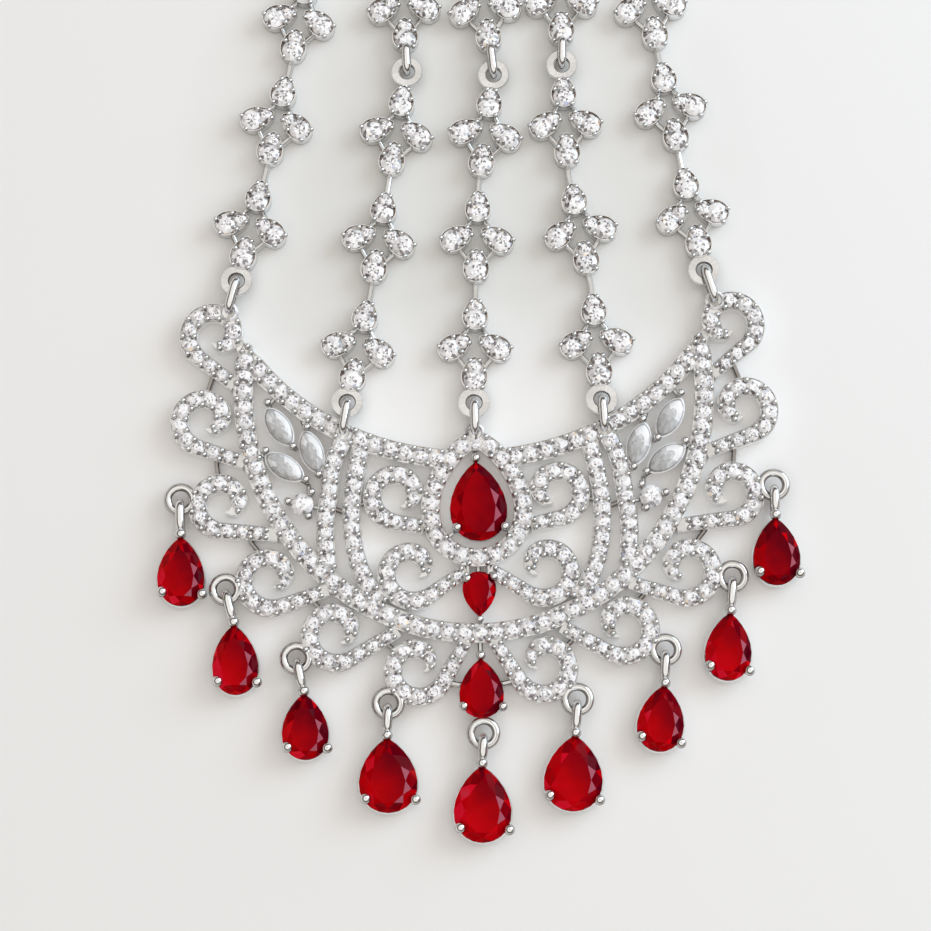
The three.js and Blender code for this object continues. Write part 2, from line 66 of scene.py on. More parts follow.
# %% [markdown]
# ## The camera
# The picture was taken from above and a little below the drops, with a long lens. The place of
# the camera comes from fitting known points of the jewel to the picture, so it is set by
# numbers, and its axes are built as three directions at right angles.

# %% Camera
EYE = Vector((-2.292, -33.076, 273.980)) * MM
AIM = Vector((-1.0515, 17.688, 0.0)) * MM
LENS = 36 * 2675 / 931
ROLL = math.radians(1.4)

back = (EYE - AIM).normalized()
right = Vector((math.cos(ROLL), -math.sin(ROLL), 0))
right = (right - back * right.dot(back)).normalized()
axes = Matrix((right, back.cross(right), back)).transposed().to_4x4()
camera = bpy.data.objects.new("camera", bpy.data.cameras.new("camera"))
camera.matrix_world = Matrix.Translation(EYE) @ axes
camera.data.lens = LENS
camera.data.sensor_width = 36
camera.data.clip_start = 0.01
bpy.context.scene.collection.objects.link(camera)
bpy.context.scene.camera = camera
print("camera stands", round(EYE.length, 3), "m away with a lens of", round(LENS, 1), "mm")

# %% [markdown]
# ## Writing finishes as sums
# A finish is a small network of nodes. Wrapping a socket in a class with Python's operators
# lets the numbers in it be written as plain sums, and one method adds every other kind of node.
# Settings go in before sockets, because some nodes change their sockets with a setting.

# %% A socket that can be added and multiplied
class Wire:
    """One socket of a finish; sums on it add Math nodes."""

    def __init__(self, tree, socket=None):
        self.tree = tree
        self.socket = socket

    def node(self, kind, settings=None, sockets=None, out=0):
        made = self.tree.nodes.new(kind)
        for name, value in (settings or {}).items():
            if name == "stops":
                ramp = made.color_ramp
                while len(ramp.elements) < len(value):
                    ramp.elements.new(0.5)
                for stop, (place, colour) in zip(ramp.elements, value):
                    stop.position = place
                    stop.color = (*colour, 1.0)
            else:
                setattr(made, name, value)
        for key, value in (sockets or {}).items():
            if isinstance(value, Wire):
                self.tree.links.new(value.socket, made.inputs[key])
            else:
                made.inputs[key].default_value = value
        return Wire(self.tree, made.outputs[out] if made.outputs else None)

    def sum(self, operation, first, second):
        return self.node("ShaderNodeMath", {"operation": operation}, {0: first, 1: second})

    def __add__(self, other):
        return self.sum("ADD", self, other)

    def __sub__(self, other):
        return self.sum("SUBTRACT", self, other)

    def __rsub__(self, other):
        return self.sum("SUBTRACT", other, self)

    def __mul__(self, other):
        return self.sum("MULTIPLY", self, other)

    def __pow__(self, other):
        return self.sum("POWER", self, other)

    __radd__ = __add__
    __rmul__ = __mul__


def new_finish(name):
    material = bpy.data.materials.new(name)
    material.use_nodes = True
    material.node_tree.nodes.clear()
    return material, Wire(material.node_tree)


def close_finish(start, sockets):
    shader = start.node("ShaderNodeBsdfPrincipled", None, sockets)
    start.node("ShaderNodeOutputMaterial", None, {"Surface": shader})


# %% [markdown]
# ## Plated metal
# The metal is a white plating over a casting. Its raised edges are polished and get a painted
# highlight, and the small hollows between the stones get a painted brownish shade. Every face
# carries a number called tone, 1 where a highlight is painted and less where shade is painted,
# so one finish serves the whole jewel. A fine grain roughens it a little and dents it a little,
# as plating is never a perfect mirror.

# %% Plated metal
def plated_metal():
    material, start = new_finish("plated_metal")
    where = start.node("ShaderNodeTexCoord", out="Object")
    tone = start.node("ShaderNodeAttribute", {"attribute_name": "tone"}, out="Fac")
    cloud = start.node("ShaderNodeTexNoise", None, {"Vector": where, "Scale": 420.0, "Detail": 3.0})
    grain = start.node("ShaderNodeTexNoise", None, {"Vector": where, "Scale": 2600.0, "Detail": 2.0})
    # tone brings in the painted highlight and painted shade of each face.
    shade = tone * 0.86 + cloud * 0.22
    colour = start.node("ShaderNodeValToRGB", {"stops": [
        (0.0, (0.035, 0.026, 0.022)), (0.35, (0.20, 0.165, 0.145)),
        (0.62, (0.585, 0.58, 0.57)), (0.95, (0.88, 0.885, 0.89))]}, {"Fac": shade})
    dents = start.node("ShaderNodeBump", None, {
        "Height": grain, "Strength": 0.08, "Distance": 0.00008})
    close_finish(start, {
        "Base Color": colour, "Metallic": 1.0, "Roughness": 0.10 + 0.16 * cloud, "Normal": dents})
    return material


METAL = plated_metal()
print("finish:", METAL.name)

# %% [markdown]
# ## Clear stones
# A small clear stone seen from above is a patchwork: some facets throw light back and look
# white, others look through the stone into the dark setting. Real refraction at this size only
# gives noise, so each facet is given its tone at random and the gloss does the rest. The brightest
# facets also glow a little, which stands for the light that a cut stone sends back. The two ends of
# the pavé's ramp hold rare flashes of blue and of orange.

# %% Clear stones
def clear_stone(name, stops, rough, bend, spark):
    material, start = new_finish(name)
    where = start.node("ShaderNodeTexCoord", out="Object")
    tone = start.node("ShaderNodeAttribute", {"attribute_name": "tone"}, out="Fac")
    cloud = start.node("ShaderNodeTexNoise", None, {"Vector": where, "Scale": 1900.0, "Detail": 2.0})
    shade = tone + 0.36 * cloud - 0.18
    colour = start.node("ShaderNodeValToRGB", {"stops": stops}, {"Fac": shade})
    returned = start.node("ShaderNodeValToRGB", {"stops": [
        (0.55, (0.0, 0.0, 0.0)), (0.85, (1.0, 0.98, 0.99))]}, {"Fac": shade})
    close_finish(start, {
        "Base Color": colour, "Roughness": rough + 0.04 * cloud, "IOR": bend,
        "Emission Color": returned, "Emission Strength": spark})
    return material


PAVE = clear_stone("pave_stone", [
    (0.0, (0.62, 0.66, 0.90)), (0.02, (0.12, 0.092, 0.085)), (0.25, (0.38, 0.36, 0.38)),
    (0.55, (0.82, 0.81, 0.825)), (0.8, (1.0, 0.99, 1.0)), (0.985, (1.0, 0.99, 1.0)),
    (1.0, (1.0, 0.78, 0.55))], 0.05, 1.9, 0.14)
CLEAR = clear_stone("milky_clear_stone", [
    (0.0, (0.30, 0.295, 0.29)), (0.35, (0.52, 0.52, 0.525)),
    (0.65, (0.78, 0.785, 0.80)), (1.0, (0.98, 0.98, 1.0))], 0.06, 1.5, 0.05)
print("finishes:", PAVE.name, CLEAR.name)

# %% [markdown]
# ## Red stones
# The red stones are deep crimson where they look into themselves, scarlet where light comes
# back out of them, and pinkish grey where a crown facet mirrors the room. The same tone number
# picks among these, and a soft cloud keeps a large table from being one flat colour.

# %% Red stones
def red_stone():
    material, start = new_finish("red_stone")
    where = start.node("ShaderNodeTexCoord", out="Object")
    tone = start.node("ShaderNodeAttribute", {"attribute_name": "tone"}, out="Fac")
    cloud = start.node("ShaderNodeTexNoise", None, {"Vector": where, "Scale": 520.0, "Detail": 2.0})
    shade = tone + 0.24 * cloud - 0.12
    colour = start.node("ShaderNodeValToRGB", {"stops": [
        (0.0, (0.06, 0.0, 0.006)), (0.25, (0.16, 0.0, 0.005)), (0.5, (0.45, 0.0, 0.003)),
        (0.72, (0.68, 0.001, 0.006)), (0.86, (0.86, 0.008, 0.035)),
        (1.0, (0.40, 0.10, 0.14))]}, {"Fac": shade})
    close_finish(start, {
        "Base Color": colour, "Roughness": 0.04 + 0.04 * cloud, "IOR": 1.5, "Specular IOR Level": 0.03})
    return material


RED = red_stone()
print("finish:", RED.name)

# %% [markdown]
# ## The bench
# Every piece is gathered face by face, in millimetres, on a bench. A closed shell added to the
# bench is turned so that its faces look outwards, which its signed volume tells. Then the
# bench makes one mesh of it, hides the solids that it stands for and says what it is made of.

# %% The bench
def volume(points, faces):
    whole = 0.0
    for face in faces:
        a = points[face[0]]
        for i in range(1, len(face) - 1):
            b, c = points[face[i]], points[face[i + 1]]
            whole += (a[0] * (b[1] * c[2] - b[2] * c[1]) + a[1] * (b[2] * c[0] - b[0] * c[2])
                      + a[2] * (b[0] * c[1] - b[1] * c[0]))
    return whole


class Bench:
    """Gathers closed shells, each face with a tone, and makes one piece of them."""

    def __init__(self):
        self.points = []
        self.faces = []
        self.tones = []

    def add(self, points, faces, tones):
        first = len(self.points)
        inside_out = volume(points, faces) < 0
        self.points.extend(points)
        for face, tone in zip(faces, tones):
            corners = tone if isinstance(tone, list) else [tone] * len(face)
            if inside_out:
                face, corners = face[::-1], corners[::-1]
            self.faces.append([first + k for k in face])
            self.tones.extend(corners)

    def make(self, name, material, slot, nodes=(), crease=None):
        mesh = bpy.data.meshes.new(name)
        mesh.from_pydata([(x * MM, y * MM, z * MM) for x, y, z in self.points], [], self.faces)
        mesh.attributes.new("tone", "FLOAT", "CORNER").data.foreach_set("value", self.tones)
        mesh.materials.append(material)
        if crease:
            mesh.shade_smooth()
            mesh.set_sharp_from_angle(angle=math.radians(crease))
        piece = bpy.data.objects.new(name, mesh)
        bpy.context.scene.collection.objects.link(piece)
        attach(piece, "root")
        if nodes:
            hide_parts(*nodes)
        return sum(len(face) - 2 for face in self.faces)


# %% [markdown]
# ## Four ways to make a shell
# Nearly everything here is one of four things: a strip that follows a line, a round wire that
# follows a line, a form turned about an upright axis, or a cut stone. The first three are all
# a row of rings joined side by side, so they share one helper.

# %% Rings joined side by side
def loft(bench, rings, tone=1.0, closed=False):
    """Joins rings of equal count; tone is one number, or gives one for ring i and side j."""
    count = len(rings[0])
    faces, tones = [], []
    for i in range(len(rings) - (0 if closed else 1)):
        here, there = i * count, (i + 1) % len(rings) * count
        for j in range(count):
            k = (j + 1) % count
            faces.append([here + j, here + k, there + k, there + j])
            tones.append(tone(i, j) if callable(tone) else tone)
    if not closed:
        last = (len(rings) - 1) * count
        faces += [list(range(count))[::-1], [last + j for j in range(count)]]
        tones += [0.8] * 2
    bench.add([p for ring in rings for p in ring], faces, tones)


def headings(spine, closed=False):
    """The unit direction of a flat line at each of its points."""
    found = []
    for i in range(len(spine)):
        a = spine[i - 1] if closed or i else spine[0]
        b = spine[(i + 1) % len(spine)] if closed else spine[min(i + 1, len(spine) - 1)]
        reach = math.hypot(b[0] - a[0], b[1] - a[1])
        found.append(((b[0] - a[0]) / reach, (b[1] - a[1]) / reach))
    return found


def ribbon(bench, spine, widths, section, tone=1.0, closed=False):
    rings = []
    for (x, y), (dx, dy), width in zip(spine, headings(spine, closed), widths):
        rings.append([(x - dy * u, y + dx * u, z) for u, z in section(width)])
    loft(bench, rings, tone, closed)


def tube(bench, path, normal, radii, sides=10, closed=False, tone=1.0):
    """A round wire along a path that lies in one plane with the given normal."""
    normal = Vector(normal).normalized()
    points = [Vector(p) for p in path]
    rings = []
    for i, p in enumerate(points):
        a = points[i - 1] if closed or i else p
        b = points[(i + 1) % len(points)] if closed or i < len(points) - 1 else p
        out = normal.cross((b - a).normalized())
        rings.append([tuple(p + radii[i] * (math.cos(t) * normal + math.sin(t) * out))
                      for t in (2 * math.pi * k / sides for k in range(sides))])
    loft(bench, rings, tone, closed)


def turned(bench, x, y, profile, sides=10, tone=1.0):
    rings = [[(x + r * math.cos(2 * math.pi * k / sides), y + r * math.sin(2 * math.pi * k / sides), z)
              for k in range(sides)] for r, z in profile]
    loft(bench, rings, tone)


def flat_section(low, high, bevel=0.12):
    def section(width):
        h = width / 2
        b = min(bevel, h / 2)
        return [(-h, low), (-h, high - b), (b - h, high), (h - b, high), (h, high - b), (h, low)]
    return section


# %% [markdown]
# ## Lines of the frame
# The crescent is a lower band, two arms of an upper band, a pear-shaped halo, dividers and
# scrolls. Their lines repeat those of the solids, only with more points. The tables give one
# side, and the other side is its mirror image. A scroll is a spiral that tightens towards its tip,
# a band is a piece of an ellipse, and a divider is a spline through a few knots.

# %% Measured lines
LOWER_BAND = {"centre": 25.5, "half": 24.0, "depth": 25.6, "across": 2.05}
UPPER_BAND = {"centre": 42.0, "half": 27.5, "depth": 24.0, "across": 2.05}
HALO = {"tip": 20.2, "length": 12.48, "width": 9.6, "fullness": 0.5, "across": 1.95}
DIVIDERS = {
    "outer": [(-13.6, 20.6), (-14.8, 17.85), (-15.3, 14.4), (-15.7, 10.8), (-15.4, 6.6)],
    "inner": [(-11.7, 20.2), (-12.75, 15.3), (-12.95, 11.5), (-12.5, 8.1), (-11.4, 5.2), (-10.0, 3.0)],
}
DIVIDER_ACROSS = 1.85
# root x, root y, eye x, eye y, first radius, tightening, last share, bearing of the tip
SCROLLS = [
    (-24.7, 26.35, -26.91, 31.89, 2.94, 0.40, 0.27, -109),
    (-23.4, 18.1, -28.02, 22.78, 2.91, 0.40, 0.27, -88),
    (-19.6, 10.5, -26.31, 13.88, 2.71, 0.24, 0.29, -69),
    (-15.5, 4.8, -21.48, 5.96, 3.03, 0.40, 0.27, -64),
    (-8.4, 0.4, -14.86, 0.14, 3.04, 0.40, 0.35, -57),
    (-1.3, -0.6, -6.37, -3.73, 2.78, 0.05, 0.20, -13),
    (-4.6, 10.9, -8.24, 14.4, 2.76, 0.34, 0.40, -74),
    (-1.2, 6.5, -6.84, 6.29, 2.98, 0.30, 0.28, -31),
]
# length without stones at the root of each scroll
BARE_ROOTS = [0.85, 0.95, 1.12, 0.75, 0.65, 0.4, 0.4, 0.4]
SCROLL_ACROSS, SCROLL_ROOT, SCROLL_TIP = 1.9, 1.4, 0.5


# %% Curves for the strips
def arc(band, start, end, steps):
    turns = [math.radians(start + (end - start) * i / steps) for i in range(steps + 1)]
    return [(band["half"] * math.cos(t), band["centre"] + band["depth"] * math.sin(t)) for t in turns]


def pear_point(turn, length, width, fullness):
    """A point of a pear outline, tip at the origin and round end down."""
    def bulge(t):
        return math.sin(t) * abs(math.sin(t / 2)) ** fullness
    widest = bulge(math.acos(-fullness / (2 + fullness)))
    return width / 2 * bulge(turn) / widest, -length / 2 * (1 - math.cos(turn))


def pear(length, width, sides, fullness=0.8, grow=0.0):
    return [(x, y + grow) for x, y in (pear_point(
        2 * math.pi * i / sides, length + 2 * grow, width + 2 * grow, fullness) for i in range(sides))]


def blend(a, b, share):
    return a + (b - a) * share


def scroll_line(row, turns=44):
    rx, ry, ex, ey, radius, tighten, last, tip = row
    reach = math.hypot(rx - ex, ry - ey)
    start = math.atan2(ry - ey, rx - ex) - math.acos(radius / reach)
    end = math.radians(tip)
    while end > start - math.pi:
        end -= 2 * math.pi
    line, widths = [], []
    for i in range(-4, turns + 1):
        share = max(i, 0) / turns
        r = radius * (1 - tighten * share - (1 - tighten - last) * share ** 4)
        bearing = blend(start, end, share)
        x, y = ex + r * math.cos(bearing), ey + r * math.sin(bearing)
        straight = min(i, 0) / 4
        line.append((blend(x, rx, -straight), blend(y, ry, -straight)))
        along = (1 + straight + 12 * share) / 13
        widths.append(blend(SCROLL_ROOT, SCROLL_ACROSS, min(1, along / 0.12)) if along < 0.76
                      else blend(SCROLL_ACROSS, SCROLL_TIP, (along - 0.76) / 0.24))
    return line, widths


def smooth_line(knots, steps):
    """A line that passes through every knot, bending as a spline does."""
    line = []
    for i in range(len(knots) - 1):
        a, b, c, d = (knots[max(0, min(len(knots) - 1, i + k))] for k in (-1, 0, 1, 2))
        for s in range(steps + (i == len(knots) - 2)):
            t = s / steps
            line.append(tuple(0.5 * (2 * q + (r - p) * t + (2 * p - 5 * q + 4 * r - w) * t * t
                                     + (3 * q - p - 3 * r + w) * t ** 3) for p, q, r, w in zip(a, b, c, d)))
    return line


def mirrored(line, side):
    return [(side * x, y) for x, y in line]


# %% All strips of the frame
# Each strip: line, widths, lengths without stones at its start and its end, and its kind.
STRIPS = []
line = arc(LOWER_BAND, 168, 372, 150)
tapers = [min(1, 0.45 + 28 * min(i, 150 - i) / 150) for i in range(151)]
STRIPS.append((line, [LOWER_BAND["across"] * taper for taper in tapers], 1.75, 1.75, "first"))
line = [(x, y + HALO["tip"]) for x, y in pear(HALO["length"], HALO["width"], 96, HALO["fullness"])]
STRIPS.append((line, [HALO["across"]] * 96, 0.0, 0.0, "closed"))
for side in (1, -1):
    line = arc(UPPER_BAND, 206.8, 262.5, 44)
    widths = [UPPER_BAND["across"] * min(1, 0.45 + 4 * i / 44) for i in range(45)]
    STRIPS.append((mirrored(line, side), widths, 2.2, 0.5, "arm"))
    for knots in DIVIDERS.values():
        line = smooth_line(knots, 8)
        STRIPS.append((mirrored(line, side), [DIVIDER_ACROSS] * len(line), 0.6, 0.6, "divider"))
    for row, bare in zip(SCROLLS, BARE_ROOTS):
        line, widths = scroll_line(row)
        kind = "inner" if row in SCROLLS[6:] else "scroll"
        STRIPS.append((mirrored(line, side), widths, bare, 0.2, kind))
print("strips in the frame:", len(STRIPS))

# %% [markdown]
# ## The rolled strips
# A strip of the casting is a channel: two low polished lips with a slightly sunken floor
# between them, in which the stones sit. The lips get a painted highlight and their inner slopes
# painted shade, and the floor is cut into small flats whose tones are picked at random, as
# painted glints and painted shade. A strip that grows out of another starts just inside the
# other's edge, and an outer scroll shows a plain flat leaf of metal there.

# %% Walking along a line
def walker(line, widths, closed):
    line = line + line[:1] if closed else line
    widths = widths + widths[:1] if closed else widths
    marks = [0.0]
    for a, b in zip(line, line[1:]):
        marks.append(marks[-1] + math.hypot(b[0] - a[0], b[1] - a[1]))

    def at(length):
        length = max(0.0, min(marks[-1] - 1e-6, length))
        i = max(k for k in range(len(marks) - 1) if marks[k] <= length)
        share = (length - marks[i]) / (marks[i + 1] - marks[i])
        (ax, ay), (bx, by) = line[i], line[i + 1]
        reach = marks[i + 1] - marks[i]
        return (blend(ax, bx, share), blend(ay, by, share), (bx - ax) / reach, (by - ay) / reach,
                blend(widths[i], widths[i + 1], share))
    return at, marks[-1]


# %% Channel strips
LIP_HIGH = 1.72
FLOOR_HIGH = 1.56


def channel(sink):
    """The section of a strip; a little sink keeps crossing strips from sharing a surface."""
    def section(width):
        h = width / 2
        lip = min(0.08, h * 0.3)
        drop = min(0.04, h * 0.12)
        top, bed = LIP_HIGH - sink, FLOOR_HIGH - sink
        return [(-h, sink), (-h, top - drop), (drop - h, top), (lip - h, top), (lip + drop - h, bed),
                (h - lip - drop, bed), (h - lip, top), (h - drop, top), (h, top - drop), (h, sink)]
    return section


def channel_tone(i, j):
    """Lips get a painted highlight and inner slopes painted shade; the floor, which is face 4, is cut into
    flats of random painted glints and shade.
    """
    if j == 4:
        return chance.uniform(0.4, 1.0)
    return (1.0, 0.95, 0.9, 0.6, 0.0, 0.6, 0.9, 0.95, 1.0, 1.0)[j]


def first_clear(at, masters, room):
    """How far along a line lies the first point that is clear of the lines it grows from."""
    return next(s / 20 for s in range(80) if all(
        math.hypot(at(s / 20)[0] - x, at(s / 20)[1] - y) > room for line in masters for x, y in line))


frame_metal = Bench()
MASTERS = [STRIPS[0][0], STRIPS[1][0]]
ARMS = [strip[0] for strip in STRIPS if strip[4] == "arm"]


def bounds_along(at, total, kind):
    """Where a strip leaves the line that it grows from, and how much of its far end is buried."""
    if kind == "divider":
        return first_clear(at, ARMS, 0.95), first_clear(lambda s: at(total - s), MASTERS, 0.95)
    if kind == "arm":
        return 0.0, first_clear(lambda s: at(total - s), MASTERS[1:], 0.92)
    return (first_clear(at, MASTERS, 0.95) if kind in ("scroll", "inner") else 0.0), 0.0


# %% Laying the strips
for i, (line, widths, bare_start, _, kind) in enumerate(STRIPS):
    at, total = walker(line, widths, kind == "closed")
    sink = 0.0 if i == 0 else 0.012 + 0.005 * (i % 6)
    if kind == "closed":
        ribbon(frame_metal, line, widths, channel(sink), channel_tone, True)
        continue
    scroll = kind in ("scroll", "inner")
    edge, stop = bounds_along(at, total, kind)
    begin, stop = max(0.0, edge - 0.1), max(0.0, stop - 0.1)
    if kind == "scroll":
        leaf = [at(max(0.0, edge - 0.12) + 0.27 * bare_start * k) for k in range(4)]
        ribbon(frame_metal, [c[:2] for c in leaf], [c[4] - 0.03 for c in leaf],
               flat_section(0.1, LIP_HIGH - 0.03, 0.1), 0.74)
    steps = max(12, round((total - begin - stop) / 0.3))
    marks = [blend(begin, total - stop, k / steps) for k in range(steps + 1)]
    cut = [at(mark) for mark in marks]
    points = [min(1.0, 0.25 + (total - mark) / 1.1) if scroll else 1.0 for mark in marks]
    across = [c[4] * point for c, point in zip(cut, points)]
    ribbon(frame_metal, [c[:2] for c in cut], across, channel(sink),
           lambda k, j: 0.85 if scroll and k > steps - 4 else channel_tone(k, j))
print("faces in the strips:", len(frame_metal.faces))

# %% [markdown]
# ## Pavé
# One row of small round stones runs along each strip, and between neighbours two beads of metal
# are raised and pushed over the stones' edges. Walking along each line at the stones' pitch
# places them. A place that another strip has already filled is skipped, as a setter would.

# %% A round cut and a bead
def sparkle(low, high, fire=0.006, dark=0.2):
    """The tone of one facet: most are bright, some look into the dark, very few flash a colour."""
    luck = chance.random()
    if luck < fire:
        return 1.6 if luck < 0.6 * fire else -0.6
    if luck < fire + dark:
        return chance.uniform(0.6, 1.6) * low
    return blend(low, high, 0.32 + 0.68 * chance.random() ** 0.5)


def brilliant(bench, x, y, radius, girdle, crown, tones=(0.2, 0.84), n=8):
    """A round cut: a table, n stars, n kites, twice as many girdle facets and a closed back.
    The table is a fan, because through it the eye sees the facets of the back."""
    spin = chance.uniform(0, 2 * math.pi / n)

    def ring(count, share, high, offset=0.0):
        turns = [spin + 2 * math.pi * (k + offset) / count for k in range(count)]
        return [(x + radius * share * math.cos(t), y + radius * share * math.sin(t), high) for t in turns]
    points = (ring(n, 0.56, girdle + crown) + ring(n, 0.79, girdle + 0.55 * crown, 0.5)
              + ring(2 * n, 1.0, girdle) + ring(2 * n, 0.86, girdle - 0.3)
              + ring(n, 0.3, girdle + crown, 0.5) + [(x, y, girdle + crown)])
    faces, tones_made = [], []
    for k in range(n):
        m = (k + 1) % n
        e = [2 * n + (2 * k + j) % (2 * n) for j in range(3)]
        faces += [[6 * n + k, 6 * n + m, 7 * n], [k, m, 6 * n + k], [m, 6 * n + m, 6 * n + k],
                  [k, n + k, m], [m, n + k, e[2], n + m], [n + k, e[0], e[1]], [n + k, e[1], e[2]]]
        tones_made += [sparkle(*tones) for _ in range(7)]
    for k in range(2 * n):
        m = (k + 1) % (2 * n)
        faces.append([2 * n + k, 4 * n + k, 4 * n + m, 2 * n + m])
        tones_made.append(0.35)
    faces.append([4 * n + k for k in range(2 * n)][::-1])
    tones_made.append(0.3)
    bench.add(points, faces, tones_made)


def bead(bench, x, y, radius, foot, sides=8):
    """A raised bead of metal, with painted shade round its foot and a painted highlight on its top."""
    shares = [(0.95, 0.0), (1.0, 0.55), (0.8, 1.1), (0.42, 1.45), (0.1, 1.55)]
    turned(bench, x, y, [(radius * out, foot + radius * up) for out, up in shares], sides,
           lambda i, j: (0.36, 0.62, 1.0, 1.0)[i])


# %% Where a stone or a bead still fits
PAVE_PITCH, LARGEST_PAVE = 1.63, 0.81
BEAD, SMALL_BEAD, LONE_BEAD = 0.32, 0.29, 0.3
BEAD_FOOT = FLOOR_HIGH + 0.1
pave = Bench()
beads = Bench()
taken = []
raised = []


def free(x, y, radius):
    return all(math.hypot(x - a, y - b) > 0.86 * (radius + r) for a, b, r in taken)


def set_stone(x, y, radius):
    """Sets the largest stone that fits here, if any does."""
    for share in (1.0, 0.82, 0.64, 0.5):
        if free(x, y, radius * share):
            brilliant(pave, x, y, radius * share, BEAD_FOOT, 0.36)
            taken.append((x, y, radius * share))
            return True
    return False


def raise_beads(spot, places, radius):
    """Raises beads across a strip wherever no stone or bead stands already."""
    x, y, dx, dy, _ = spot
    for across in places:
        bx, by = x - dy * across, y + dx * across
        if (all(math.hypot(bx - a, by - b) > 0.7 * (radius + r) for a, b, r in taken)
                and all(math.hypot(bx - a, by - b) > 1.5 * radius for a, b in raised)):
            bead(beads, bx, by, radius, BEAD_FOOT)
            raised.append((bx, by))


# %% Setting the pavé
EYELETS = [(-25.5, 34.35), (-13.75, 21.2), (0.0, 20.84), (13.45, 20.9), (25.5, 34.35)]
taken += [(x, y, 0.78) for x, y in EYELETS]
set_stone(0.0, 19.35, 0.46)
for line, widths, bare_start, bare_end, kind in STRIPS:
    at, total = walker(line, widths, kind == "closed")
    scroll = kind in ("scroll", "inner")
    pitch = PAVE_PITCH
    edge, stop = bounds_along(at, total, kind)
    s = bare_start + edge
    if kind == "divider":
        bare_end += stop
    if scroll:
        raise_beads(at(s), (0.4, -0.4), SMALL_BEAD)
        s += 0.78
    else:
        room = total - s - bare_end
        pitch = room / (2 * round(room / pitch / 2))
    if kind == "first":
        for tip, next_place in ((0.25, 0.85), (total - 0.25, total - 0.85)):
            raise_beads(at(tip), (0.0,), BEAD)
            raise_beads(at(next_place), (0.45, -0.45), SMALL_BEAD)
    while s < total - bare_end + (-0.5 if kind == "closed" else 0.01):
        spot = at(s)
        width = spot[4]
        if scroll and width < 1.35:
            if width < 0.85:
                break
            raise_beads(spot, (0.3, -0.3) if width > 1.05 else (0.0,), SMALL_BEAD)
            s += 0.56
            continue
        if not set_stone(*spot[:2], min(LARGEST_PAVE, width / 2 - 0.1)):
            raise_beads(spot, (0.0,), LONE_BEAD)
        spot = at(s + pitch / 2)
        raise_beads(spot, (spot[4] / 2 - BEAD, BEAD - spot[4] / 2), BEAD)
        s += pitch
print("pavé stones:", len(taken) - len(EYELETS), " bead faces:", len(beads.faces))

# %% [markdown]
# ## Stubs, seat bars and eyelets
# Short low stubs tie the scrolls to each other, and low bars carry the larger stones. Both are
# straight strips with a flat section. An eyelet is a flat ring that a strand's link passes
# through. Its upper edge is cut into small facets, so it looks set with stones like its
# neighbours.

# %% Stubs and bars
STUBS = [
    (-27.0, 28.3, -27.9, 25.6), (-27.0, 19.2, -26.7, 16.6), (-23.9, 10.6, -22.3, 8.6),
    (-17.6, 4.2, -16.0, 2.6), (-10.0, -0.5, -8.3, -2.0), (-4.3, -5.2, -1.6, -5.2),
    (-15.0, 13.4, -12.9, 12.6), (-12.9, 13.6, -10.4, 13.9),
]
SEAT_BARS = [
    (-21.4, 24.4, -18.55, 19.6), (-21.5, 24.4, -20.5, 25.5), (-18.1, 23.1, -15.25, 15.7),
    (-23.2, 19.9, -17.4, 16.0), (-17.4, 16.0, -17.3, 12.4), (-19.7, 14.1, -15.4, 13.3),
]
LUGS = [(-1.05, 7.3, -1.1, 6.1), (-3.6, -5.0, -2.2, -5.3)]
# start x, start y, end x, end y, low, high
SPINE_BARS = [(0, 7.6, 0, 0.3, 0.0, 0.5), (0, -0.3, 0, -9.0, 0.0, 0.5), (0, -8.2, 0.05, -9.3, 0.4, 1.5)]
# rows, width, height, tone
BAR_KINDS = [(STUBS, 0.46, 0.95, 0.4), (SEAT_BARS, 0.42, 0.6, 0.7), (LUGS, 0.5, 1.5, 0.7)]
# The stubs' low tone of 0.4 is painted shade, where they lie low between the scrolls.
for side in (1, -1):
    for rows, across, high, tone in BAR_KINDS:
        for ax, ay, bx, by in rows:
            ends = [(side * ax, ay), (side * bx, by)]
            ribbon(frame_metal, ends, [across] * 2, flat_section(0.0, high, 0.16), tone)
for ax, ay, bx, by, low, high in SPINE_BARS:
    ribbon(frame_metal, [(ax, ay), (bx, by)], [0.5] * 2, flat_section(low, high, 0.16), 0.7)
print("stubs and bars:", 2 * (len(STUBS) + len(SEAT_BARS) + len(LUGS)) + len(SPINE_BARS))


# %% Flat rings and eyelets
def flat_ring(bench, x, y, outer, hole, low, high, sides=28, edge=0.1):
    rings = []
    for k in range(sides):
        c, s = math.cos(2 * math.pi * k / sides), math.sin(2 * math.pi * k / sides)
        rings.append([(x + r * c, y + r * s, z) for r, z in (
            (hole, low), (outer, low), (outer, high - edge), (outer - edge, high), (hole + edge, high),
            (hole, high - edge))])
    # Painted highlight on both bevels, painted shade in the hole and underneath; the top face's tone sweeps
    # round as painted shade, with small random steps.
    shade = [0.8 + 0.06 * math.sin(4 * math.pi * k / sides) + chance.uniform(-0.04, 0.04)
             for k in range(sides)]
    loft(bench, rings, lambda i, j: (0.4, 0.7, 1.0, shade[i], 1.0, 0.35)[j], True)


for x, y in EYELETS:
    flat_ring(frame_metal, x, y, 1.05, 0.66, 1.05, 1.58)
    edging = [(0.62, 1.45), (0.8, 1.93), (1.04, 1.6), (1.0, 1.2), (0.66, 1.2)]
    turns = [2 * math.pi * k / 14 for k in range(14)]
    # The faceted edge takes the pavé finish: its upper faces get random painted glints, the lower ones
    # painted shade.
    loft(pave, [[(x + r * math.cos(t), y + r * math.sin(t), z) for r, z in edging] for t in turns],
         lambda i, j: sparkle(0.2, 0.84) if j < 2 else 0.35, True)
print("faces in the frame so far:", len(frame_metal.faces))

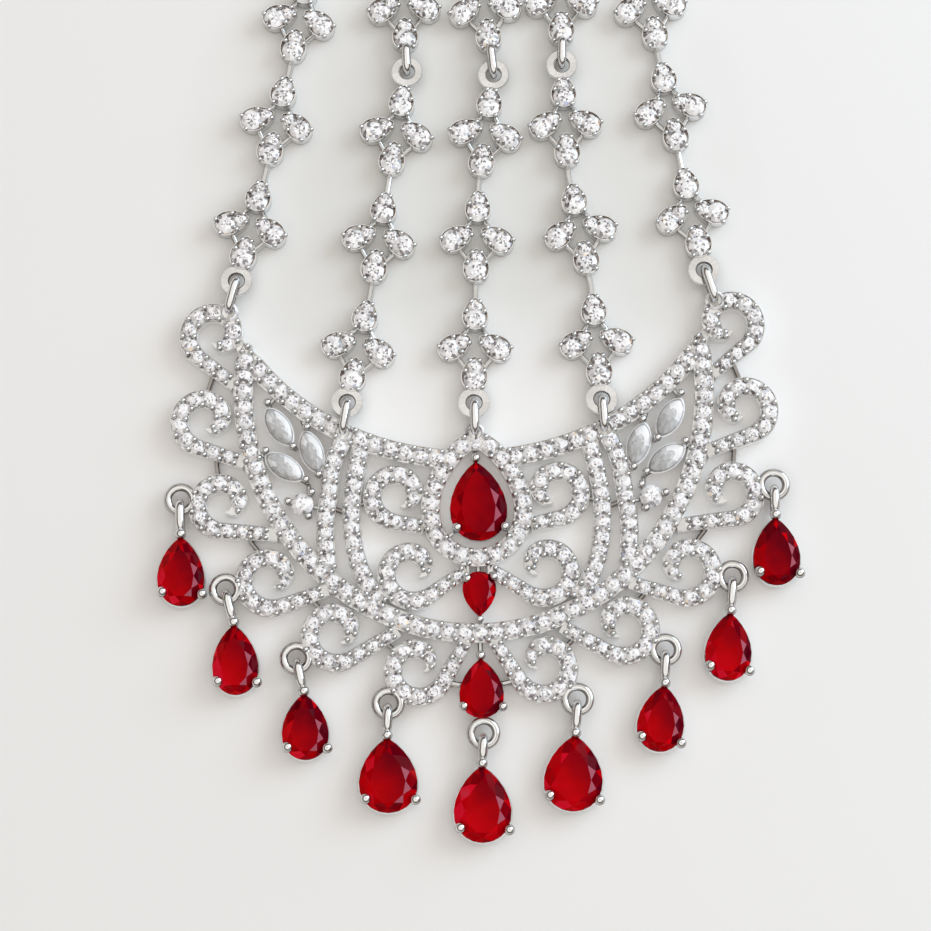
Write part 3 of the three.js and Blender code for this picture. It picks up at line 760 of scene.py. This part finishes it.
# %% [markdown]
# ## Drops
# Nine drops hang along the lower edge, each from its own ring. A drop is a pear-shaped red
# stone in a thin gallery with one ball prong at its tip and two beside its round end, and an
# oval bail that stands on edge and joins it to the ring. The rings are round wire, soldered flat
# against the scrolls. Each row of the table is one drop as it lies, because they have all swung a
# little differently. Its glow says how bright the stone looks.

# %% Table of drops
# ring x, ring y, tip x, tip y, foot x, foot y, width, glow
DROP_RING = {"radius": 1.3, "wire": 0.42, "height": 1.42}
DROPS = [
    (-30.61, 14.56, -30.53, 10.53, -30.62, 3.43, 4.83, 0.42),
    (-26.04, 5.07, -25.15, 1.28, -25.01, -5.84, 4.70, 0.50),
    (-18.85, -2.21, -18.09, -5.96, -17.97, -12.62, 4.77, 0.38),
    (-9.55, -7.04, -9.72, -10.64, -9.66, -18.16, 5.97, 0.41),
    (0.1, -10.32, -0.15, -13.71, -0.24, -21.39, 5.86, 0.50),
    (9.75, -7.1, 9.38, -10.85, 8.83, -18.45, 5.97, 0.49),
    (18.9, -2.25, 18.62, -6.0, 17.74, -12.65, 4.77, 0.45),
    (26.1, 5.15, 25.65, 1.27, 25.05, -5.6, 4.75, 0.51),
    (30.75, 14.6, 30.7, 11.05, 30.7, 4.1, 4.83, 0.30),
]


def circle_path(x, y, z, radius, steps):
    turns = [2 * math.pi * k / steps for k in range(steps)]
    return [(x + radius * math.cos(t), y + radius * math.sin(t), z) for t in turns]


# Painted highlight and painted shade round the wire of each drop ring, side by side.
RING_TONES = (1.0, 0.8, 0.38, 0.24, 0.3, 0.4, 0.4, 0.4, 0.4, 0.4, 0.4, 0.35, 0.3, 0.5, 0.95, 0.62)
for row in DROPS:
    ring = circle_path(row[0], row[1], DROP_RING["height"], DROP_RING["radius"], 32)
    tube(frame_metal, ring, (0, 0, 1), [DROP_RING["wire"]] * 32, 16, True, lambda i, j: RING_TONES[j])
print("drops:", len(DROPS))

# %% [markdown]
# ## Prongs and bails
# A prong is a thin post with a round ball that sits over the edge of its stone. Turning one
# outline about an upright axis makes both at once. A bail or link is an oval of wire that stands
# on edge, a little thicker along its top where it catches the light. Mirrors this small show only
# a bright top and a dim edge, so these are painted in as a highlight and as shade, face by face.

# %% Balls on posts
def ball_tone(i, j):
    """A ball gets a painted highlight on top and painted shade round its edge, most of all to the lower
    right.
    """
    shadow = 0.3 * max(0.0, math.cos(2 * math.pi * (j + 0.5) / 14 + 1.0))
    return (0.5, 0.46, 0.46, 0.6, 0.84, 1.0, 1.0)[i] - (shadow if i in (3, 4, 5) else 0.0)


def prong(bench, x, y, low, top, ball, post=0.26):
    """A post with a ball on it, drawn as one turned form."""
    middle = top - ball
    profile = [(post, low), (post, middle - 0.75 * ball)]
    for deg in (-35, 0, 30, 48, 66, 80):
        turn = math.radians(deg)
        profile.append((ball * math.cos(turn), middle + ball * math.sin(turn)))
    turned(bench, x, y, profile, 14, ball_tone)


# %% Wire ovals that stand on edge
# Painted highlight and painted shade round the wire of a bail or link, side by side.
LOOP_TONES = (0.42, 0.85, 1.0, 0.95, 0.6, 0.36, 0.4, 0.4, 0.4, 0.4, 0.4, 0.4)


def standing_loop(bench, start, end, wire, rise, height, steps=14):
    """An oval of wire on edge, its length lying between two points, fuller along its upper side."""
    length = math.hypot(end[0] - start[0], end[1] - start[1])
    dx, dy = (end[0] - start[0]) / length, (end[1] - start[1]) / length
    mx, my, half = (start[0] + end[0]) / 2, (start[1] + end[1]) / 2, length / 2 - rise
    path = []
    for sign in (1, -1):
        for k in range(steps + 1):
            turn = math.pi * (k / steps - 0.5) + (0 if sign > 0 else math.pi)
            u, v = sign * half + rise * math.cos(turn), rise * math.sin(turn)
            path.append((mx + dx * u, my + dy * u, height + v))
    radii = [wire * (0.84 + 0.48 * max(0.0, (z - height) / rise)) for _, _, z in path]
    tube(bench, path, (-dy, dx, 0), radii, 12, True, lambda i, j: LOOP_TONES[j])


# %% [markdown]
# ## Cut pears
# A pear cut has a flat table, a ring of stars and kites round it, small girdle facets, and a
# pointed back. Looking into the table one sees a soft glow, so its corners get painted tones of
# their own that blend into a painted glow. Each crown facet is one flat painted colour: scarlet to
# the left, dark to the right, as painted light and shade, and veiled in pink, a painted reflection,
# where it mirrors the room.

# %% Facets of a pear
HEART = 0.62
DROP_FULLNESS = 0.55
FRAME_FULLNESS = 0.6


def placed(points, deg, x, y):
    c, s = math.cos(math.radians(deg)), math.sin(math.radians(deg))
    return [(x + c * a - s * b, y + s * a + c * b) for a, b in points]


def red_facet(nx, ny, glow, star):
    """How bright a crown facet is painted, from the way that it leans: painted light, shade and pink
    reflection.
    """
    if star and nx > 0.25 and -0.9 < ny < 0.75 and chance.random() < (1.0 if ny > -0.6 else 0.5):
        return 1.08
    flash = 0.34 if chance.random() < 0.14 else 0.0
    return max(0.08, min(0.84, glow - 0.24 * nx - 0.08 * ny + flash + chance.uniform(-0.2, 0.12)))


def cut_pear(bench, length, width, fullness, deg, x, y, heights, glow, fall=0.36,
             table_shares=(0.6, 0.7)):
    """A pear cut with its tip at x, y; heights are those of girdle, table and keel."""
    girdle, table, keel = heights
    heart = -length * HEART

    def ring(count, shares, high, offset=0.0):
        turns = [2 * math.pi * (k + offset) / count for k in range(count)]
        outline = [pear_point(turn, length, width, fullness) for turn in turns]
        inner = [(a * shares[0], heart + (b - heart) * shares[1]) for a, b in outline]
        return [(a, b, high) for a, b in placed(inner, deg, x, y)]
    n = 11
    middle = [0.5 + share / 2 for share in table_shares]
    rings = [ring(n, table_shares, table), ring(n, middle, girdle + 0.56 * (table - girdle), 0.5),
             ring(2 * n, (1.0, 1.0), girdle), ring(2 * n, (0.99, 0.99), girdle - 0.12)]
    points = [p for part in rings for p in part]
    hx, hy = placed([(0, heart)], deg, x, y)[0]
    points += [(hx, hy, keel), (hx, hy, table)]

    def gleam(k):
        px, py, _ = points[k]
        return glow - 0.28 * (px - hx) / width - fall * (py - hy) / length
    faces, tones = [], []

    def facet(*corners, star=False):
        cx = sum(points[k][0] for k in corners) / len(corners) - hx
        cy = sum(points[k][1] for k in corners) / len(corners) - hy
        faces.append(list(corners))
        tones.append(red_facet(cx / math.hypot(cx, cy), cy / math.hypot(cx, cy), glow, star))
    keel_at, table_at = len(points) - 2, len(points) - 1
    for k in range(n):
        m = (k + 1) % n
        e = [2 * n + (2 * k + j) % (2 * n) for j in range(3)]
        faces.append([k, m, table_at])
        tones.append([gleam(k), gleam(m), glow + 0.02])
        facet(k, n + k, m, star=True)
        facet(m, n + k, e[2], n + m)
        facet(n + k, e[0], e[1])
        facet(n + k, e[1], e[2])
    for k in range(2 * n):
        m = (k + 1) % (2 * n)
        faces += [[2 * n + k, 4 * n + k, 4 * n + m, 2 * n + m], [4 * n + k, keel_at, 4 * n + m]]
        tones += [0.25, 0.2 + 0.3 * (k % 2)]
    bench.add(points, faces, tones)


# %% Galleries and the places of prongs
def side_prong(length, width, deg, fullness, out):
    """The place of a prong beside a pear, a little outside or inside its outline."""
    ax, ay = pear_point(math.radians(deg), length, width, fullness)
    reach = math.hypot(ax, ay + length * HEART)
    return ax + out * ax / reach, ay + out * (ay + length * HEART) / reach


def gallery(bench, length, width, fullness, deg, x, y, low, high, lip=0.12, wall=0.6, sides=40):
    """The thin pear-shaped rail under a stone."""
    section = [(-wall, low), (lip - 0.1, low), (lip, low + 0.1), (lip, high - 0.15),
               (lip - 0.12, high), (-wall, high)]
    edges = [placed(pear(length, width, sides, fullness, grow), deg, x, y) for grow, _ in section]
    rings = [[(*edges[j][k], section[j][1]) for j in range(len(section))] for k in range(sides)]
    loft(bench, rings, 0.9, True)


# %% Nine drops
DROP_SETTING = {"low": 0.45, "high": 1.5, "prong": 2.96, "side_ball": 0.57, "tip_ball": 0.6}
BAIL = {"wire": 0.38, "rise": 1.03, "height": 1.42}
DROP_STONE = (2.0, 2.9, 0.3)
total = 0
for i, (rx, ry, tx, ty, fx, fy, width, glow) in enumerate(DROPS, 1):
    length = math.hypot(fx - tx, fy - ty)
    lean = math.degrees(math.atan2(fx - tx, ty - fy))
    setting, stone = Bench(), Bench()
    low, top = DROP_SETTING["low"], DROP_SETTING["prong"]
    gallery(setting, length, width, DROP_FULLNESS, lean, tx, ty, low, DROP_SETTING["high"])
    for side, out in ((1, 0.2), (-1, -0.28)):
        ax, ay = side_prong(length, width, 130, DROP_FULLNESS, out)
        (ax, ay), = placed([(side * ax, ay)], lean, tx, ty)
        prong(setting, ax, ay, low, top, DROP_SETTING["side_ball"])
    (ax, ay), = placed([(0, 0.3)], lean, tx, ty)
    prong(setting, ax, ay, low, top, DROP_SETTING["tip_ball"])
    reach = math.hypot(rx - tx, ry - ty)
    ux, uy = (rx - tx) / reach, (ry - ty) / reach
    ends = (tx + 0.6 * ux, ty + 0.6 * uy), (rx - 0.27 * ux, ry - 0.27 * uy)
    standing_loop(setting, *ends, BAIL["wire"], BAIL["rise"], BAIL["height"])
    cut_pear(stone, length, width, DROP_FULLNESS, lean, tx, ty, DROP_STONE, glow)
    total += setting.make(f"drop_setting_{i}_metal", METAL, "plated_metal", [f"drop_setting_{i}"], 40)
    total += stone.make(f"drop_stone_{i}_cut", RED, "red_stone", [f"drop_stone_{i}"])
print("triangles in the drops:", total)

# %% [markdown]
# ## The frame's own stones
# Three red pears lie on the crescent's middle line, and on each side three marquise stones and
# a round one fill the space between band and divider. The marquises have a low, softly cut
# crown, so they look milky rather than sparkling. The round ones are cut like the pavé, only
# larger.

# %% Red pears of the frame
# name, tip y, tip up or down, length, width, bearing of side prongs, table height, lean, glow
RED_PEARS = [
    ("centre_red_pear", 17.7, 1, 8.28, 5.95, 132, 2.75, 2, 0.37),
    ("small_red_pear", 1.65, -1, 4.65, 3.48, 135, 2.45, -1, 0.39),
    ("lower_red_pear", -2.77, 1, 6.03, 4.58, 128, 2.45, 0, 0.41),
]
for name, tip, up, length, width, bearing, table, lean, glow in RED_PEARS:
    deg = lean if up > 0 else 180 + lean
    stone = Bench()
    heights = (1.75, table, 0.55)
    cut_pear(stone, length, width, FRAME_FULLNESS, deg, 0, tip, heights, glow, -0.05, (0.6, 0.8))
    stone.make(f"{name}_cut", RED, "red_stone", [name])
    gallery(frame_metal, length, width, FRAME_FULLNESS, deg, 0, tip, 0.3, 1.1, -0.05, 0.4)
    near = side_prong(length, width, bearing, FRAME_FULLNESS, -0.2)
    far = side_prong(length, width, bearing, FRAME_FULLNESS, 0.12)
    spots = placed([(up * far[0], far[1]), (-up * near[0], near[1]), (0, 0.34)], deg, 0, tip)
    for x, y in spots:
        prong(frame_metal, x, y, 0.3, table + 0.08, 0.44 if length < 5 else 0.5)
        if name == "centre_red_pear":
            hy = tip - up * length * HEART
            reach = math.hypot(x, y - hy)
            ux, uy = x / reach, (y - hy) / reach
            ends = [(x - 0.3 * ux, y - 0.3 * uy), (x + 1.5 * ux, y + 1.5 * uy)]
            ribbon(frame_metal, ends, [0.4] * 2, flat_section(0.3, 0.8), 0.8)
print("red pears on the frame:", len(RED_PEARS))

# %% Marquise stones
MARQUISE = {"length": 4.85, "width": 2.5, "point": 1.3, "girdle": 1.55, "table": 2.15, "keel": 0.95}
MARQUISES = [("upper", -20.32, 21.95, -58), ("inner", -16.96, 19.23, -72), ("lower", -19.79, 17.69, -34)]
ROUND_STONE = (-18.03, 13.71, 1.17)
SIDE_PRONGS = [
    (-21.49, 24.49), (-18.9, 19.8), (-17.44, 21.81), (-16.3, 16.8), (-21.75, 19.41), (-17.62, 16.28),
    (-19.51, 14.03), (-17.05, 14.95), (-17.42, 12.45),
]


def marquise(bench, x, y, deg, side):
    """A boat-shaped stone: rings of one outline, smaller as they rise, with a soft crown. Its rim, a streak
    and the side towards the lamp get painted highlights.
    """
    sides = 20
    outline = []
    for k in range(sides):
        turn = 2 * math.pi * k / sides
        bulge = math.copysign(abs(math.sin(turn)) ** MARQUISE["point"], math.sin(turn))
        outline.append((MARQUISE["length"] / 2 * math.cos(turn), MARQUISE["width"] / 2 * bulge))
    outline = placed(outline, deg, 0, 0)
    levels = ((0.5, MARQUISE["keel"]), (0.985, MARQUISE["girdle"] - 0.12), (1.0, MARQUISE["girdle"]),
              (0.93, 1.63), (0.83, 1.84), (0.64, 2.04), (0.42, 2.12), (0.2, MARQUISE["table"]))
    rings = [[(side * (x + share * a), y + share * b, high) for a, b in outline]
             for share, high in levels]
    faces, tones = [], []
    for i in range(len(rings) - 1):
        for j in range(sides):
            k = (j + 1) % sides
            faces.append([sides * i + j, sides * i + k, sides * (i + 1) + k, sides * (i + 1) + j])
            # Painted light: faces towards the lamp are lighter, the rim and a streak are painted bright,
            # and other faces get small random steps.
            lean = side * (outline[j][0] + outline[k][0]) * 0.08 + (outline[j][1] + outline[k][1]) * 0.05
            painted_streak_and_jitter = 0.3 if i in (4, 5) and (lean > 0.14 or j in (11, 12)) else chance.uniform(-0.14, 0.14)
            tones.append((0.3, 0.3, 1.0, 0.32, 0.48, 0.44, 0.42)[i] + (0.4 * lean + painted_streak_and_jitter if i > 2 else 0))
    last = sides * (len(rings) - 1)
    faces += [list(range(sides))[::-1], [last + j for j in range(sides)]]
    tones += [0.3, 0.42]
    bench.add([p for ring in rings for p in ring], faces, tones)


# %% Setting the clear stones
for side, word in ((1, "left"), (-1, "right")):
    for name, x, y, deg in MARQUISES:
        stone = Bench()
        marquise(stone, x, y, deg, side)
        stone.make(f"marquise_{name}_{word}_cut", CLEAR, "clear_stone", [f"marquise_{name}_{word}"])
    stone = Bench()
    x, y, radius = ROUND_STONE
    brilliant(stone, side * x, y, radius, 1.6, 0.55, (0.34, 0.84, 0.0), 12)
    turned(stone, side * x, y, [(0.2, 0.95), (radius * 0.86, 1.31)], 16, 0.3)
    stone.make(f"round_stone_{word}_cut", PAVE, "clear_stone", [f"round_stone_{word}"])
    for x, y in SIDE_PRONGS:
        prong(frame_metal, side * x, y, 0.3, 2.4, 0.42, 0.22)
total = frame_metal.make("crescent_frame_metal", METAL, "plated_metal", ["crescent_frame"], 40)
total += beads.make("crescent_frame_beads", METAL, "plated_metal", (), 60)
total += pave.make("crescent_frame_pave", PAVE, "clear_stone")
print("triangles in the crescent:", total)

# %% [markdown]
# ## Strands
# Five strands rise from the crescent. Each is a row of clusters, and a cluster is four small
# pear-shaped cups, one below, one to each side and one above, joined by short bars. A cup has a
# thin rim with a painted highlight and holds two round stones, the larger one at its round end,
# with tiny beads beside them. Its floor is a fan of facets with painted shade and random painted
# glints. Flat rings and oval links join the lengths.

# %% One petal and one cluster
# tip x, tip y, bearing of the round end, length, width
PETALS = [
    (0.0, 3.7, -90, 3.7, 2.85), (-0.4, 5.75, -150, 3.85, 2.7),
    (0.4, 5.75, -30, 3.85, 2.7), (0.0, 10.0, -90, 3.5, 2.8),
]
# share of the width, share of the length
PETAL_BEADS = [(-0.34, 0.42), (0.34, 0.42), (-0.29, 0.9), (0.29, 0.9), (-0.17, 0.13), (0.17, 0.13)]
BODY = 10.0
BAR = flat_section(0.0, 0.95, 0.2)


def petal(metal, stones, length, width, deg, x, y):
    levels = [(-0.14, 0.0), (0.0, 0.3), (0.0, 1.68), (-0.04, 1.75), (-0.1, 1.75), (-0.14, 1.54)]
    sides = 28
    rings = [[(*p, z) for p in placed(pear(length, width, sides, 0.5, grow), deg, x, y)]
             for grow, z in levels]
    points = [p for ring in rings for p in ring]
    faces, tones = [], []
    for i in range(len(rings) - 1):
        for j in range(sides):
            k = (j + 1) % sides
            faces.append([sides * i + j, sides * i + k, sides * (i + 1) + k, sides * (i + 1) + j])
            # Painted highlight on the rim, painted shade on its inner wall.
            tones.append(0.8 if i < 2 else (0.5 if i == 4 else 1.0))
    points += [(*p, 1.54) for p in placed([(0, -length * HEART)], deg, x, y)]
    faces.append(list(range(sides))[::-1])
    faces += [[sides * 5 + j, sides * 5 + (j + 1) % sides, sides * 6] for j in range(sides)]
    # The floor fan gets painted shade with random painted glints.
    tones += [0.4] + [chance.uniform(0.12, 0.6) for _ in range(sides)]
    metal.add(points, faces, tones)
    for along, radius in ((0.665, 1.10), (0.27, 0.74)):
        (a, b), = placed([(0, -length * along)], deg, x, y)
        brilliant(stones, a, b, radius, 1.6, 0.3, (0.14, 0.86, 0.005, 0.22), 11 if radius > 1 else 9)
    for across, along in PETAL_BEADS:
        (a, b), = placed([(across * width, -length * along)], deg, x, y)
        bead(metal, a, b, SMALL_BEAD, 1.6)


def cluster(metal, stones, deg, x, y):
    hearts = []
    for tx, ty, bearing, length, width in PETALS:
        (a, b), = placed([(tx, ty)], deg, x, y)
        petal(metal, stones, length, width, bearing + 90 + deg, a, b)
        hearts += placed(placed([(0, -length * HEART)], bearing + 90, tx, ty), deg, x, y)
    foot, left, right_heart, head = hearts
    for a, b in ((foot, left), (foot, right_heart), (head, left), (head, right_heart)):
        # The low bars between the cups get a dimmer tone, painted shade.
        ribbon(metal, [a, b], [0.5] * 2, BAR, 0.66)


# %% Lengths of strand
# eyelet, knots of the lower length, knots of the upper length
STRANDS = [
    ((-25.5, 34.35), [(-24.6, 37.7), (-21.5, 49.4), (-18.8, 60.9), (-16.3, 72.75)], None),
    ((-13.75, 21.2), [(-13.2, 24.4), (-10.6, 36.1), (-8.5, 48.0), (-6.25, 60.2)],
     [(-6.25, 60.2), (-6.6, 74.0)]),
    ((0.0, 20.84), [(0.0, 24.04), (0.45, 36.1), (1.06, 47.7), (2.95, 59.64)],
     [(2.95, 59.64), (1.55, 73.9)]),
    ((13.45, 20.9), [(13.3, 24.1), (12.6, 36.4), (10.6, 48.6), (10.25, 60.56)],
     [(10.25, 60.56), (10.6, 74.3)]),
    ((25.5, 34.35), [(24.5, 37.7), (22.5, 49.8), (20.6, 61.6), (19.1, 73.0)], None),
]
WASHER = {"radius": 1.68, "hole": 0.8, "low": 1.05, "high": 1.6}
LINK = {"wire": 0.36, "rise": 0.98, "height": 1.375}


def link_wire(bench, start, end):
    standing_loop(bench, start, end, LINK["wire"], LINK["rise"], LINK["height"])


def step(a, b, reach):
    """The point that lies a given reach from a towards b."""
    length = math.hypot(b[0] - a[0], b[1] - a[1])
    return a[0] + (b[0] - a[0]) * reach / length, a[1] + (b[1] - a[1]) * reach / length


def washer(metal, x, y):
    flat_ring(metal, x, y, WASHER["radius"], WASHER["hole"], WASHER["low"], WASHER["high"], 36)


def strand_length(knots, linked):
    metal, stones = Bench(), Bench()
    for i, (a, b) in enumerate(zip(knots, knots[1:])):
        final = i == len(knots) - 2
        below = (2.6 if linked else 1.3) if i == 0 else 0.9
        above = 1.6 if final else 0.9
        reach = math.hypot(b[0] - a[0], b[1] - a[1])
        start = (reach - BODY) * below / (below + above)
        foot, crown = step(a, b, start), step(a, b, start + BODY - 0.9)
        cluster(metal, stones, math.degrees(math.atan2(b[1] - a[1], b[0] - a[0])) - 90, *foot)
        if final:
            washer(metal, *b)
            ribbon(metal, [crown, step(b, a, 1.0)], [0.6] * 2, flat_section(0.6, 1.45), 0.68)
        else:
            ribbon(metal, [crown, b, step(b, knots[i + 2], 1.6)], [0.6] * 3, BAR, 0.68)
        if i == 0 and linked:
            link_wire(metal, step(a, b, -0.2), step(a, b, start + 0.6))
        if i == 0 and not linked:
            washer(metal, *a)
    return metal, stones


# %% Five strands and their links
total = 0
for i, (eyelet, lower, upper) in enumerate(STRANDS, 1):
    link = Bench()
    reach = math.hypot(lower[0][0] - eyelet[0], lower[0][1] - eyelet[1])
    link_wire(link, eyelet, step(eyelet, lower[0], reach + 0.2))
    total += link.make(f"foot_link_{i}_wire", METAL, "plated_metal", [f"foot_link_{i}"], 50)
    for word, knots in (("lower", lower), ("upper", upper)):
        if knots:
            metal, stones = strand_length(knots, word == "upper")
            node = f"strand_{i}_{word}"
            total += metal.make(f"{node}_metal", METAL, "plated_metal", [node], 45)
            total += stones.make(f"{node}_stones", PAVE, "clear_stone")
print("triangles in the strands:", total)

# %% [markdown]
# ## The hook bar
# The strands' upper ends lie beyond the picture's edge. A plain bar with a loop for each strand
# and a hook of round wire finishes them in the simplest way such a jewel is worn.

# %% Hook bar
HOOK_BAR = {"x": 1.4, "y": 77.3, "half": 19.4, "bow": -0.0045, "across": 1.7, "high": 1.5}
HOOK = {"radius": 3.75, "wire": 0.7, "stem": 4.4, "gap": 62}


def bar_line(x):
    return HOOK_BAR["y"] + HOOK_BAR["bow"] * (x - HOOK_BAR["x"]) ** 2


bar = Bench()
xs = [HOOK_BAR["x"] + HOOK_BAR["half"] * (k / 20 - 1) for k in range(41)]
ribbon(bar, [(x, bar_line(x)) for x in xs], [HOOK_BAR["across"]] * 41,
       flat_section(0.0, HOOK_BAR["high"], 0.35))
high = HOOK["wire"] + 0.05
centre = HOOK_BAR["y"] + HOOK["stem"] + HOOK["radius"]
path = [(HOOK_BAR["x"], HOOK_BAR["y"] + HOOK["stem"] * k / 6, high) for k in range(6)]
for k in range(49):
    turn = math.radians(-90 + (360 - HOOK["gap"]) * k / 48)
    path.append((HOOK_BAR["x"] + HOOK["radius"] * math.cos(turn),
                 centre + HOOK["radius"] * math.sin(turn), high))
radii = [HOOK["wire"]] * (len(path) - 2) + [HOOK["wire"] * 0.85, HOOK["wire"] * 0.45]
tube(bar, path, (0, 0, 1), radii, 14)
for eyelet, lower, upper in STRANDS:
    x, y = (upper or lower)[-1]
    link_wire(bar, (x, y - 0.2), (x, bar_line(x)))
total = bar.make("hair_hook_bar_metal", METAL, "plated_metal", ["hair_hook_bar"], 45)
print("triangles in the bar:", total)

# %% [markdown]
# ## Surface and light
# The jewel lies on pale smooth paper under a large soft lamp from the upper right, with a
# bright ceiling. The lower walls of the room are dim, so that the round metal gets dark edges
# beside its white tops, which is how polished metal is told from white paint. The paper carries
# a painted pool of light under the crescent and painted shade between the strands. It also has a
# faint even painted glow, and that opens the deepest shadows.

# %% Paper
def paper():
    material, start = new_finish("pale_paper")
    where = start.node("ShaderNodeTexCoord", out="Object")
    cloud = start.node("ShaderNodeTexNoise", None, {"Vector": where, "Scale": 14.0, "Detail": 4.0})
    across, along = (start.node("ShaderNodeSeparateXYZ", None, {"Vector": where}, out=axis)
                     for axis in "XY")

    def patch(x, y, half, depth):
        far = ((across - x) * (1 / half)) ** 2.0 + ((along - y) * (1 / depth)) ** 2.0
        settings = {"operation": "SUBTRACT", "use_clamp": True}
        return start.node("ShaderNodeMath", settings, {0: 1.0, 1: far})
    # Two painted patches on the paper: painted light under the crescent, painted shade between the strands.
    painted_light_under_crescent = patch(0.0, 0.018, 0.034, 0.018)
    painted_shade_between_strands = patch(0.0, 0.048, 0.032, 0.036)
    level = 0.3 + 0.1 * cloud + 0.38 * painted_light_under_crescent - 0.38 * painted_shade_between_strands
    colour = start.node("ShaderNodeValToRGB", {"stops": [
        (0.0, (0.72, 0.718, 0.70)), (0.35, (0.857, 0.853, 0.85)),
        (0.9, (0.985, 0.975, 0.965))]}, {"Fac": level})
    # The paper's faint even emission is a painted glow that lifts the deepest shadows.
    close_finish(start, {
        "Base Color": colour, "Roughness": 0.62 + 0.1 * cloud,
        "Emission Color": (1.0, 0.95, 0.90, 1.0), "Emission Strength": 0.08})
    return material


mesh = bpy.data.meshes.new("paper")
corners = [(-2.0, -2.0), (2.0, -2.0), (2.0, 2.0), (-2.0, 2.0)]
mesh.from_pydata([(x, y, -2e-5) for x, y in corners], [], [[0, 1, 2, 3]])
mesh.materials.append(paper())
floor = bpy.data.objects.new("paper", mesh)
bpy.context.scene.collection.objects.link(floor)
floor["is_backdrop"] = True
print("paper lies at", floor.data.vertices[0].co.z / MM, "mm")

# %% Room and lamp
world = bpy.data.worlds.new("room")
bpy.context.scene.world = world
world.use_nodes = True
world.node_tree.nodes.clear()
start = Wire(world.node_tree)
where = start.node("ShaderNodeTexCoord", out="Generated")
height, rightward = (start.node("ShaderNodeSeparateXYZ", None, {"Vector": where}, out=axis)
                     for axis in "ZX")
patches = start.node("ShaderNodeTexNoise", None, {"Vector": where, "Scale": 2.6, "Detail": 1.0})
colour = start.node("ShaderNodeValToRGB", {"stops": [
    (0.0, (0.62, 0.59, 0.55)), (0.10, (0.40, 0.36, 0.32)), (0.18, (0.06, 0.044, 0.036)),
    (0.46, (0.075, 0.057, 0.048)), (0.56, (0.62, 0.58, 0.54)), (0.66, (1.04, 1.0, 0.95)),
    (1.0, (1.0, 0.965, 0.92))]}, {"Fac": height + 0.2 * rightward + 0.3 * patches - 0.15})
light = start.node("ShaderNodeBackground", None, {"Color": colour, "Strength": 0.97})
start.node("ShaderNodeOutputWorld", None, {"Surface": light})

lamp = bpy.data.objects.new("lamp", bpy.data.lights.new("lamp", "AREA"))
lamp.data.energy = 1.45
lamp.data.size = 0.36
lamp.data.color = (0.70, 0.86, 1.0)
lamp.location = (0.40, 0.22, 0.22)
lamp.rotation_euler = (Vector((0, 0.02, 0)) - lamp.location).to_track_quat("-Z", "Y").to_euler()
bpy.context.scene.collection.objects.link(lamp)
bpy.context.scene.view_settings.view_transform = "Standard"
print("lamp at", [round(c / MM) for c in lamp.location], "mm")

# %% [markdown]
# ## Measuring the result
# The box of the dressed jewel is measured and held beside the box of the solids, and its size is printed.
# The dressed jewel has to keep the size of the solids.

# %% The two boxes
boxes = {"cad": [list(v) for v in CAD_BOX], "visual": [list(v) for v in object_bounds()]}
print("dressed, mm:", [round((b - a) / MM, 2) for a, b in zip(*boxes["visual"])])
